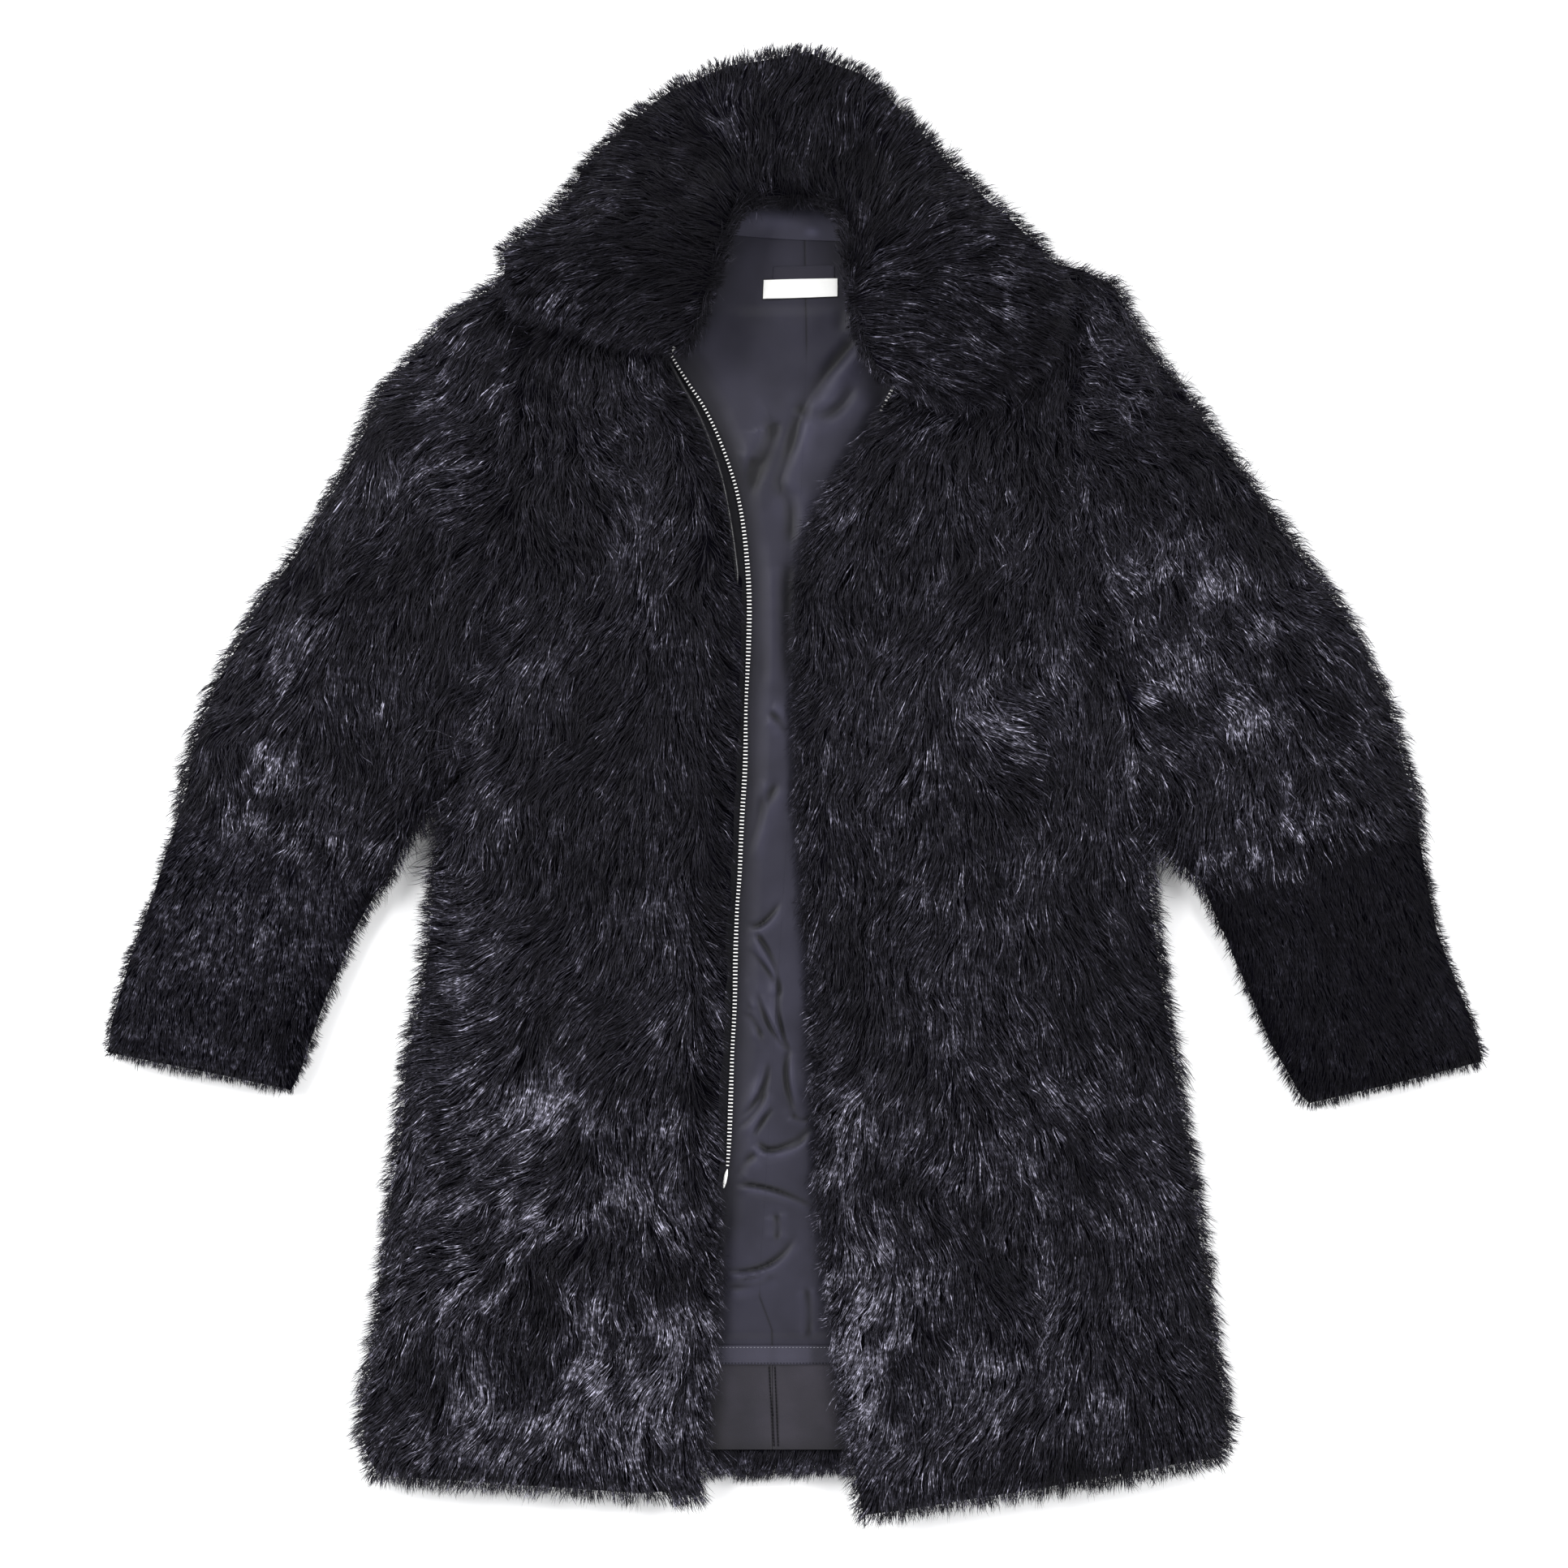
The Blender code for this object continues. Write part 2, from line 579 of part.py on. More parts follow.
def zip_pieces():
    """Both halves of the open zip, the right with its piping and end pin, the left under the fur."""
    low = LINING_TOP + SEAM_GAP
    right = opening_line(FRONT_RIGHT, ZIP_TOP_ROW, ZIP_END_ROW, 40)
    half = CHAIN_HALF_WIDTH
    near = half + SEAM_GAP
    wall("zip_chain_right", strip(right, -half, half), low, low + ZIP_CHAIN, "brass")
    wall("zip_tape_right", strip(right, near, near + 11.0), low, low + ZIP_TAPE, "tape")
    piping = opening_line(FRONT_RIGHT, *PIPING_ROWS, 16)
    over = low + ZIP_TAPE + SEAM_GAP
    wall("piping_right", strip(piping, near + 0.2, near + 3.0, 3), over, over + np.array((1.9, 2.5, 1.9)), "leather")
    end = right[-1]
    pin = np.array([end + (0.0, -SEAM_GAP), end + (0.0, -14.0)])
    wall("zip_pin_right", strip(pin, -1.6, 1.6), low, low + 2.4, "brass")

    left = opening_line(FRONT_LEFT, ZIP_TOP_ROW + 0.2, ZIP_END_ROW, 40)
    under = np.interp(np.linspace(0.0, 1.0, 40), (0.0, 0.04, 0.12), (-1.0, 1.0, 7.0))
    left = beside(left, -under)
    wall("zip_chain_left", strip(left, -half, half), low, low + ZIP_CHAIN, "brass")
    wall("zip_tape_left", strip(left, -near - 11.0, -near), low, low + ZIP_TAPE, "tape")
    end = left[-1]
    slider = np.array([end + (0.0, -SEAM_GAP), end + (0.0, -11.0)])
    wall("zip_slider_left", strip(slider, -4.2, 4.2), low, low + ZIP_CHAIN, "brass")
    box = np.array([end + (0.0, -11.0 - SEAM_GAP), end + (0.0, -20.0)])
    wall("zip_box_left", strip(box, -3.6, 3.6), low, low + ZIP_CHAIN - 0.3, "brass")


def centre_all():
    """Moves every piece so that the coat stands on the origin, in the middle of its base."""
    corners = np.array([v.co for obj in bpy.data.objects for v in obj.data.vertices])
    low, high = corners.min(axis=0), corners.max(axis=0)
    for obj in bpy.data.objects:
        for vertex in obj.data.vertices:
            vertex.co.x -= (low[0] + high[0]) / 2
            vertex.co.y -= (low[1] + high[1]) / 2
            vertex.co.z -= low[2]


for thing in list(bpy.data.objects):
    bpy.data.objects.remove(thing, do_unlink=True)

back_piece()
lining_pieces()
inside_pieces()
front_pieces("right", FRONT_RIGHT, FUR_EDGE_TO_ZIP)
front_pieces("left", FRONT_LEFT, 0.0)
sleeve_pieces("right", FRONT_RIGHT, SLEEVE_RIGHT, CUFF_RIGHT)
sleeve_pieces("left", FRONT_LEFT, SLEEVE_LEFT, CUFF_LEFT)
collar_pieces()
zip_pieces()
centre_all()
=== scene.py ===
"""A long-haired black shearling coat, laid on its back with its front open.

The CAD says where each piece is. This script grows the fur, and makes the lining, the zip and the sewing.
Places read from the photograph are in its pixels, px to the right and py down, and plan() turns them into
the CAD's plan. Lengths are in millimetres, and mesh_from() turns them into metres.
"""

import math

import bmesh
import bpy
import numpy as np
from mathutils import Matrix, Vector
from mathutils.bvhtree import BVHTree


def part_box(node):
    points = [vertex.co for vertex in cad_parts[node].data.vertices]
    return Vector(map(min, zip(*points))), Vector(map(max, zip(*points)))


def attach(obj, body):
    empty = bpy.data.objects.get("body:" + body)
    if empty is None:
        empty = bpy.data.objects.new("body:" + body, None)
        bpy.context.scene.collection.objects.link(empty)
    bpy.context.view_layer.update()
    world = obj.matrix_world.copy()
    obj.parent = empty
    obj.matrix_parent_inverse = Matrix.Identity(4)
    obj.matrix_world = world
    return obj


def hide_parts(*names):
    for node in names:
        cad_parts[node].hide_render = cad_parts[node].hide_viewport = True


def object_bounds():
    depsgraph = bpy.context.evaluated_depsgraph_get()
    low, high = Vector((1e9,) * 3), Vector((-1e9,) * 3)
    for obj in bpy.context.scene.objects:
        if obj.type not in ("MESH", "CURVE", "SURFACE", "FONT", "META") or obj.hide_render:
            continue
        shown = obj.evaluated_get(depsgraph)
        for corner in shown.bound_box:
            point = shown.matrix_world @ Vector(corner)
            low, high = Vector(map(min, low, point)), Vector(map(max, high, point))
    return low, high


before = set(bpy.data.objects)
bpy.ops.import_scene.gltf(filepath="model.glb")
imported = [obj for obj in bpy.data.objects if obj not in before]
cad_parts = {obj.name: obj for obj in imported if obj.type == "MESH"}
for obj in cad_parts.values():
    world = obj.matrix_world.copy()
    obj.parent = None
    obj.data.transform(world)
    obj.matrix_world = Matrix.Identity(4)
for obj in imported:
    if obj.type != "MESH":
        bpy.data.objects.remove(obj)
CAD_LOW, CAD_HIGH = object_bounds()
MM = 0.001
PIXEL = 0.56  # of the coat, for one pixel of the photograph
FRAME_PIXELS = 1932
PLAN_CENTRE = (978.5, 971.0)  # pixel at the origin of the photograph's plan
LABEL_CORNER = (-21.0, 339.5)  # of the white label, in that plan
SHIFT = np.array(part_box("label_white")[0][:2]) * 1000.0 - LABEL_CORNER  # from that plan to the CAD's

# Heights above the ground.
LINING_TOP = 15.3
FACING_TOP = 15.55
LABEL_TOP = 16.25
BAND_TOP = 16.4
RIBBON_TOP = 16.75
TAPE_TOP = 16.35
BEAD_MIDDLE = 16.4
TEETH_FOOT = 16.5
PIN_MIDDLE = 17.2
PIPING_MIDDLE = 19.0
LEFT_TAPE_TOP = 20.2
LEFT_TEETH_FOOT = 20.4
TOOTH_PITCH = 2.54

CELL = 2.5  # of the maps over the plan
MARGIN = 45.0  # of these maps, beyond the CAD's box
CELLS_OUT = 18  # how far heights and distances are carried from an edge
DARKEST, BRIGHTEST = 0.0006, 0.26  # colours of the strands
LOG_RANGE = math.log(BRIGHTEST / DARKEST)
ROUND = math.radians(62)  # how far a strand's normals turn from its middle to its edges, as on a round hair
LOCKS = 1024  # the pattern of locks repeats after so many, each way
# Each lock has a random number for each of these, from a series that starts this far after its fur's seed.
LUCK = {
    "size": 3, "reach": 4, "phase": 5, "wave": 6, "lift": 7, "spread": 8, "twist": 12, "tone": 14,
    "shine": 18, "band_place": 19, "band": 20,
}

FRONTS = ("front_upper_right", "front_upper_left", "front_lower_right", "front_lower_left")
SLEEVES = ("sleeve_top_right", "sleeve_top_left")
CUFFS = ("cuff_top_right", "cuff_top_left")
UNDER = ("back_panel", "sleeve_under_right", "sleeve_under_left", "cuff_under_right", "cuff_under_left")
SHOWN = FRONTS + SLEEVES + CUFFS + ("collar_top", "back_panel")


def plan_x(px):
    return (px - PLAN_CENTRE[0]) * PIXEL + SHIFT[0]


def plan_y(py):
    return (PLAN_CENTRE[1] - py) * PIXEL + SHIFT[1]


def plan(px, py):
    """Place in the CAD's plan of a pixel of the photograph."""
    return np.array([plan_x(px), plan_y(py)])


def plan_rows(rows):
    return np.array([plan(*row) for row in rows])


def smooth(share):
    """Eases a share that runs from 0 to 1, at both ends."""
    share = np.clip(share, 0.0, 1.0)
    return share * share * (3.0 - 2.0 * share)


def bell(away, width):
    """One in the middle, and falling away on both sides."""
    return np.exp(-((away / width) ** 2))


# ---------------------------------------------------------------- fields over the plan


def lattice_noise(x, y, size, seed):
    """Smooth noise from -1 to 1, one random value for each square of the given size."""
    rng = np.random.default_rng(seed)
    values = rng.uniform(-1.0, 1.0, (257, 257))
    u = np.mod(np.asarray(x) / size + 40.3, 256.0)
    v = np.mod(np.asarray(y) / size + 61.7, 256.0)
    return between(values, u, v, smooth)


def between(values, u, v, ease):
    """Value at (u, v) of a grid, from the four nearest, with the shares eased."""
    i, j = u.astype(int), v.astype(int)
    a, b = ease(u - i), ease(v - j)
    low = values[i, j] * (1 - a) + values[i + 1, j] * a
    high = values[i, j + 1] * (1 - a) + values[i + 1, j + 1] * a
    return low * (1 - b) + high * b


def node_mesh(name):
    """Points and triangles of a CAD node."""
    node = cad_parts[name]
    mesh = node.data
    mesh.calc_loop_triangles()
    points = np.empty(len(mesh.vertices) * 3)
    mesh.vertices.foreach_get("co", points)
    corners = np.empty(len(mesh.loop_triangles) * 3, int)
    mesh.loop_triangles.foreach_get("vertices", corners)
    world = np.array(node.matrix_world)
    points = points.reshape(-1, 3) @ world[:3, :3].T + world[:3, 3]
    return points * 1000.0, corners.reshape(-1, 3)


def grid_line(axis):
    size = (CAD_HIGH[axis] - CAD_LOW[axis]) * 1000.0 + 2 * MARGIN
    return CAD_LOW[axis] * 1000.0 - MARGIN + CELL * np.arange(int(size / CELL) + 1)


GRID_X, GRID_Y = grid_line(0), grid_line(1)
CELL_PLACES = np.meshgrid(GRID_X, GRID_Y, indexing="ij")


def drop_rays(names):
    """Over the grid, the top height of these nodes and the index of the topmost: nan and -1 beside them."""
    points, faces, owner = [], [], []
    start = 0
    for index, name in enumerate(names):
        own_points, own_faces = node_mesh(name)
        points.append(own_points)
        faces.append(own_faces + start)
        owner.append(np.full(len(own_faces), index))
        start += len(own_points)
    owner = np.concatenate(owner)
    tree = BVHTree.FromPolygons(np.concatenate(points).tolist(), np.concatenate(faces).tolist())
    heights = np.full((len(GRID_X), len(GRID_Y)), np.nan)
    which = np.full(heights.shape, -1)
    above, down = 300.0, Vector((0.0, 0.0, -1.0))
    for i, x in enumerate(GRID_X):
        for j, y in enumerate(GRID_Y):
            hit, _, face, _ = tree.ray_cast(Vector((x, y, above)), down)
            if hit is not None:
                heights[i, j] = hit.z
                which[i, j] = owner[face]
    return heights, which


def around(values):
    """The eight neighbours of each cell, the edge repeated."""
    padded = np.pad(values, 1, mode="edge")
    n, m = values.shape
    steps = [(a, b) for a in range(3) for b in range(3) if (a, b) != (1, 1)]
    return [padded[a : a + n, b : b + m] for a, b in steps]


def blurred(values, times):
    for _ in range(times):
        values = 0.5 * values + 0.5 * np.mean(around(values), axis=0)
    return values


def spread_out(heights, fall):
    """Heights carried on past the edge, falling away from it, then eased a little."""
    filled = np.where(np.isnan(heights), -1e3, heights)
    for _ in range(CELLS_OUT):
        best = np.max(around(filled), axis=0) - fall * CELL
        filled = np.where(np.isnan(heights), np.maximum(filled, best), filled)
    return blurred(np.maximum(filled, 1.0), 2)


def edge_distance(inside):
    """Distance to the edge, positive inside and negative outside, as far as CELLS_OUT reach."""
    total = np.zeros(inside.shape)
    for mask, sign in ((inside, 1.0), (~inside, -1.0)):
        left = mask.copy()
        for step in range(CELLS_OUT):
            total += sign * CELL * left
            ring = around(left)
            near = ring if step % 3 == 1 else [ring[k] for k in (1, 3, 4, 6)]
            left = left & np.all(near, axis=0)
    return blurred(total, 2)


def sample(values, x, y):
    """Value of a map at places of the plan."""
    u = np.clip((x - GRID_X[0]) / CELL, 0, len(GRID_X) - 1.001)
    v = np.clip((y - GRID_Y[0]) / CELL, 0, len(GRID_Y) - 1.001)
    return between(values, u, v, lambda share: share)


class Ground:
    """What one layer of fur grows on: its height, the distance to its edge, and the way out to that edge."""

    def __init__(self, names, fall):
        heights, _ = drop_rays(names)
        self.height = spread_out(heights, fall)
        self.edge = edge_distance(~np.isnan(heights))
        gx, gy = np.gradient(blurred(self.edge, 3), CELL)
        size = np.maximum(np.hypot(gx, gy), 1e-3)
        self.out_x, self.out_y = -gx / size, -gy / size

    def outward(self, x, y):
        ox, oy = sample(self.out_x, x, y), sample(self.out_y, x, y)
        size = np.maximum(np.hypot(ox, oy), 1e-3)
        return ox / size, oy / size


# The opening between the fronts, from the photograph: py, and the left and right px of what shows of the
# lining there.
OPENING = (
    (255, 905, 1040), (300, 890, 1042), (360, 872, 1045), (425, 835, 1085), (500, 880, 1085),
    (590, 912, 1032), (680, 926, 995), (760, 930, 984), (900, 926, 982), (1000, 922, 988), (1080, 916, 995),
    (1200, 912, 1003), (1350, 907, 1008), (1460, 900, 1012), (1560, 888, 1022), (1660, 884, 1035),
)

# The right chain as it lies: px, py, and how wide its teeth look, in pixels.
RIGHT_CHAIN = (
    (823, 430, 2.6), (836, 452, 2.8), (850, 474, 2.9), (867, 500, 3.0), (884, 535, 3.1), (899, 575, 3.2),
    (909, 610, 3.6), (916, 650, 4.2), (921, 700, 5.0), (923, 745, 5.2), (922, 800, 5.0), (919, 870, 3.4),
    (918, 940, 5.0), (914, 1010, 4.8), (911, 1080, 4.2), (908, 1120, 3.8), (906, 1180, 5.0),
    (905, 1240, 4.4), (902, 1300, 4.0), (900, 1360, 5.0), (898, 1410, 4.4), (896, 1441, 3.0),
)
CHAIN = plan_rows([row[:2] for row in RIGHT_CHAIN])
ZIPPED = 48.0  # how far from the zip the front's fur follows it


def opening_at(y):
    """The opening's left and right edge at this y."""
    rows = np.array(OPENING, float).T
    return [np.interp(-y, -plan_y(rows[0]), plan_x(edge)) for edge in rows[1:]]


def beside_zip(x, y):
    """From 0 to 1, how much the front's edge here runs along the zip, and the zip's own x."""
    zip_x = np.interp(-y, -CHAIN[:, 1], CHAIN[:, 0])
    near = (x < zip_x) & (x > zip_x - ZIPPED)
    return near * smooth((y - CHAIN[-1, 1]) / 8.0) * smooth((CHAIN[0, 1] - y) / 8.0), zip_x


# ---------------------------------------------------------------- how the fur lies

# Direction of the fur over body and sleeves: px, py, the direction in degrees, 0 to the right and -90 down
# the coat, and how much the locks curl there.
FUR_LIE = (
    (660, 420, -112, 0.5), (760, 520, -96, 0.9), (840, 600, -92, 0.4), (870, 760, -90, 0.3),
    (710, 700, -98, 0.4), (600, 760, -118, 0.4), (580, 960, -132, 0.4), (680, 960, -104, 0.4),
    (840, 960, -90, 0.3), (560, 1110, -142, 0.4), (650, 1120, -116, 0.3), (780, 1140, -96, 0.3),
    (530, 1290, -146, 0.3), (650, 1350, -122, 0.3), (780, 1320, -104, 0.3), (860, 1400, -88, 0.3),
    (500, 1480, -134, 0.4), (640, 1560, -112, 0.6), (780, 1600, -92, 0.5), (860, 1650, -84, 0.3),
    (470, 1740, -118, 0.3), (620, 1800, -98, 0.3), (800, 1830, -88, 0.3), (1180, 440, -104, 0.8),
    (1110, 540, -124, 0.4), (1050, 660, -122, 0.3), (1020, 800, -104, 0.3), (1160, 760, -98, 0.5),
    (1250, 640, -82, 0.7), (1260, 900, -58, 0.4), (1120, 960, -92, 0.4), (1010, 1000, -94, 0.3),
    (1370, 980, -56, 0.4), (1400, 1140, -54, 0.3), (1240, 1140, -80, 0.3), (1100, 1160, -92, 0.3),
    (1030, 1280, -94, 0.3), (1300, 1330, -56, 0.4), (1430, 1380, -58, 0.3), (1180, 1420, -84, 0.5),
    (1060, 1500, -92, 0.4), (1400, 1560, -66, 0.3), (1240, 1620, -82, 0.4), (1080, 1680, -84, 0.6),
    (1490, 1700, -68, 0.3), (1340, 1790, -84, 0.3), (1120, 1840, -94, 0.3), (620, 360, -150, 0.5),
    (520, 460, -146, 0.4), (450, 580, -142, 0.4), (520, 640, -122, 0.5), (380, 700, -140, 0.4),
    (440, 800, -118, 0.4), (540, 860, -112, 0.4), (280, 860, -140, 0.4), (330, 960, -108, 0.5),
    (430, 980, -104, 0.4), (220, 1120, -122, 0.2), (330, 1120, -104, 0.2), (430, 1130, -92, 0.2),
    (180, 1260, -112, 0.2), (320, 1290, -98, 0.2), (1330, 400, -62, 1.0), (1420, 470, -34, 1.0),
    (1500, 560, -38, 0.9), (1400, 640, -66, 0.9), (1500, 720, -60, 0.7), (1620, 740, -48, 0.5),
    (1460, 880, -74, 0.5), (1580, 880, -66, 0.6), (1690, 900, -52, 0.5), (1460, 1010, -84, 0.4),
    (1580, 1010, -82, 0.5), (1730, 960, -64, 0.4), (1560, 1160, -74, 0.2), (1700, 1120, -70, 0.2),
    (1640, 1310, -84, 0.2), (1790, 1270, -72, 0.2),
)
LIE_PLACES = plan_rows([row[:2] for row in FUR_LIE])
LIE_ANGLE, LIE_CURL = np.array(FUR_LIE, float).T[2:]


def body_lie(x, y):
    """Angle of the fur, in radians, and its curl."""
    turn = np.radians(LIE_ANGLE)
    reach = (x[:, None] - LIE_PLACES[None, :, 0]) ** 2 + (y[:, None] - LIE_PLACES[None, :, 1]) ** 2
    weight = 1.0 / (reach + 18.0**2) ** 2
    weight /= weight.sum(axis=1, keepdims=True)
    angle = np.arctan2(weight @ np.sin(turn), weight @ np.cos(turn))
    return angle, weight @ LIE_CURL


# Painted highlights and painted shade on the fur, where it shines or stays black as it lies: px and py of the
# middle, half sizes in pixels, how bright, with a minus for black, and by how many degrees the patch is
# turned, where it is.
PAINTED_LIGHT_PATCHES = (
    (545, 505, 30, 30, 0.6), (615, 500, 18, 25, 0.7), (570, 570, 50, 18, 0.55), (555, 425, 30, 45, 0.35),
    (485, 600, 25, 18, 0.7), (540, 632, 35, 15, 0.5, -30), (435, 640, 30, 14, 0.5, 50),
    (485, 540, 28, 32, -1.0), (655, 450, 25, 60, -0.9), (690, 650, 60, 40, -0.7), (640, 620, 40, 30, -0.5),
    (385, 770, 38, 22, 0.65, 45), (350, 835, 20, 15, 0.7), (338, 945, 22, 20, 1.2),
    (310, 1015, 24, 14, 1.0), (400, 1035, 55, 16, 0.6, -10), (455, 1045, 16, 14, 0.5),
    (390, 985, 35, 14, 0.35), (465, 870, 42, 13, 0.45, 50), (262, 925, 30, 20, -0.5),
    (430, 940, 25, 30, -0.4), (430, 700, 60, 35, -0.5), (530, 760, 50, 60, -0.4), (480, 975, 25, 30, -0.4),
    (300, 1120, 60, 60, 0.3), (400, 1130, 18, 40, 0.35), (235, 1170, 20, 20, 0.35),
    (335, 1265, 30, 30, -0.5), (455, 1100, 20, 40, -0.4), (783, 650, 24, 30, 0.9), (770, 560, 20, 25, 0.3),
    (788, 470, 15, 20, 0.6), (765, 428, 35, 11, 0.4), (799, 745, 15, 15, 0.95),
    (680, 382, 48, 13, 0.8, -12), (615, 750, 17, 15, 0.35), (650, 832, 36, 24, 0.55),
    (700, 790, 15, 15, 0.6), (695, 850, 18, 35, 0.3), (590, 880, 50, 15, 0.45, 70), (612, 975, 28, 22, 0.4),
    (600, 1045, 30, 36, 0.4), (712, 930, 36, 36, -0.6), (745, 880, 50, 70, -0.35), (665, 950, 30, 60, -0.3),
    (750, 1075, 36, 42, -0.45), (655, 1060, 35, 60, -0.3), (797, 1112, 18, 16, 0.4),
    (880, 1080, 20, 60, -0.4), (880, 850, 24, 150, -0.4), (850, 620, 26, 80, -0.3),
    (625, 1175, 25, 45, 0.35), (555, 1190, 25, 60, 0.35), (708, 1215, 13, 46, 0.45),
    (660, 1275, 28, 40, -0.55), (742, 1320, 30, 42, -0.75), (735, 1190, 22, 26, -0.4),
    (858, 1345, 30, 30, -0.6), (825, 1240, 13, 22, 0.55), (590, 1320, 32, 18, 0.6, -30),
    (672, 1355, 32, 28, 1.1), (620, 1380, 46, 18, 0.6), (735, 1388, 32, 15, 0.7), (812, 1400, 26, 18, 0.5),
    (840, 1432, 18, 15, 0.6), (778, 1476, 30, 15, 1.1), (845, 1468, 22, 18, -0.7), (538, 1480, 20, 22, 0.7),
    (652, 1485, 21, 24, 1.0), (565, 1545, 16, 42, 0.5), (630, 1540, 16, 42, 0.5), (600, 1460, 26, 18, -0.5),
    (705, 1440, 32, 17, -0.5), (592, 1580, 15, 42, -0.7), (668, 1600, 24, 46, -0.8),
    (650, 1670, 36, 50, -0.9), (650, 1735, 26, 16, -0.6), (750, 1560, 70, 36, -0.7),
    (840, 1590, 32, 20, -0.6), (520, 1545, 20, 40, -0.5), (815, 1525, 20, 18, 0.6),
    (725, 1615, 17, 26, 0.8), (545, 1610, 17, 17, 0.7), (610, 1640, 13, 42, 0.5),
    (535, 1690, 20, 50, -0.7, 20), (520, 1730, 42, 26, -0.4), (745, 1685, 46, 24, 1.1),
    (845, 1648, 30, 30, 0.9), (585, 1715, 16, 32, 0.5), (700, 1770, 60, 36, 0.5), (800, 1770, 22, 22, 0.8),
    (620, 1775, 36, 26, 0.4), (835, 1760, 20, 40, 0.3), (830, 260, 50, 90, -0.9), (862, 350, 26, 42, -1.0),
    (775, 340, 30, 30, -0.5), (860, 170, 30, 50, -0.6), (903, 150, 24, 15, 0.7, -50),
    (955, 195, 26, 13, 0.5, 30), (942, 150, 14, 30, -0.6), (965, 225, 42, 13, -0.7),
    (670, 320, 26, 20, 0.3), (1070, 240, 28, 36, -0.9), (1010, 200, 40, 15, -0.7), (1000, 95, 50, 20, -0.5),
    (1062, 362, 20, 20, 0.7), (1245, 340, 24, 36, 0.5), (1245, 392, 18, 17, 0.6), (1185, 325, 16, 32, 0.4),
    (1105, 462, 17, 20, 0.55), (1160, 425, 30, 10, 0.35), (1140, 520, 30, 17, 0.35, 45),
    (1090, 600, 22, 32, -0.8), (1132, 635, 15, 26, 0.35), (1200, 605, 15, 15, 0.4),
    (1275, 440, 36, 36, -0.6), (1240, 550, 42, 32, -0.6), (1360, 440, 22, 42, 0.4),
    (1462, 540, 26, 36, -0.9), (1505, 630, 30, 50, -0.9), (1560, 660, 30, 30, -0.6),
    (1452, 625, 50, 14, 0.55, -65), (1400, 600, 30, 40, -0.4), (1200, 700, 20, 32, -1.0),
    (1222, 750, 22, 26, -0.9), (1250, 705, 40, 8, 0.4, -50), (1252, 785, 13, 26, 0.65),
    (1305, 700, 20, 36, -0.6), (1035, 785, 18, 20, 0.5), (1022, 900, 14, 17, 0.6), (1020, 650, 14, 40, 0.4),
    (1070, 720, 40, 30, -0.35), (1316, 820, 46, 14, 0.6, -75), (1346, 820, 12, 50, -0.7),
    (1388, 740, 13, 50, 0.5), (1430, 695, 30, 20, 0.4), (1390, 940, 11, 36, 0.7), (1505, 715, 26, 26, 0.8),
    (1560, 778, 17, 15, 0.9), (1450, 835, 32, 20, 0.9, 30), (1532, 875, 36, 22, 1.1, -50),
    (1425, 865, 14, 30, 0.6), (1467, 875, 22, 17, -0.7), (1580, 812, 17, 17, -1.0),
    (1628, 825, 20, 17, 0.6), (1650, 870, 22, 26, -0.8), (1675, 890, 15, 22, 0.6), (1440, 935, 30, 20, 0.4),
    (1535, 940, 26, 17, -0.35), (1575, 968, 18, 15, 0.9), (1650, 950, 24, 10, 0.4),
    (1660, 990, 40, 11, 0.4), (1615, 1025, 22, 13, 1.0), (1692, 1008, 22, 13, 0.5),
    (1726, 965, 15, 20, -0.9), (1508, 1057, 36, 13, 0.9, 10), (1562, 1045, 20, 13, 0.6),
    (1655, 1065, 36, 20, -0.6), (1752, 1130, 22, 80, -0.5), (1690, 1180, 40, 50, -0.4),
    (1580, 1110, 20, 30, 0.35), (1212, 865, 20, 32, 0.5), (1250, 910, 46, 26, 0.6, -20),
    (1152, 935, 13, 32, 0.6), (1225, 1015, 36, 30, -0.4), (1315, 960, 30, 30, -0.35),
    (1272, 1077, 26, 15, 0.4), (1157, 1107, 26, 13, 0.45), (1245, 1130, 20, 18, 0.3),
    (1330, 1190, 40, 80, -0.5), (1055, 1240, 18, 46, -1.2), (1062, 1150, 18, 26, -0.8),
    (1145, 1235, 22, 32, 0.5), (1165, 1285, 15, 17, 0.6), (1243, 1290, 15, 17, 0.6),
    (1145, 1350, 40, 26, -0.5), (1278, 1350, 22, 20, 0.6), (1350, 1335, 42, 20, 0.45, 30),
    (1055, 1385, 18, 22, 1.0), (1030, 1445, 15, 15, 0.8), (1100, 1405, 26, 11, 0.5, -40),
    (1125, 1465, 30, 26, -0.8), (1178, 1462, 22, 15, 0.7), (1065, 1480, 26, 14, 0.6, -50),
    (1270, 1445, 12, 26, 0.5), (1330, 1430, 30, 40, -0.4), (1060, 1550, 28, 15, 1.2),
    (1055, 1650, 30, 62, 1.2), (1077, 1636, 11, 10, -1.3), (1085, 1577, 20, 7, -0.7),
    (1088, 1728, 13, 12, -0.5), (1060, 1735, 14, 40, 1.0), (1115, 1610, 17, 50, 0.5),
    (1200, 1550, 50, 60, -0.45), (1330, 1560, 32, 30, -0.3), (1150, 1690, 20, 40, -0.3),
    (1225, 1740, 22, 40, 0.45), (1345, 1742, 26, 22, 0.7), (1320, 1815, 60, 25, -0.6),
    (1110, 1800, 20, 26, 0.4), (700, 1660, 330, 280, 0.46), (1250, 1580, 260, 360, 0.26),
    (1490, 820, 140, 220, 0.2), (560, 1500, 120, 400, 0.15), (980, 260, 300, 130, -0.35),
    (760, 620, 230, 260, -0.12),
)


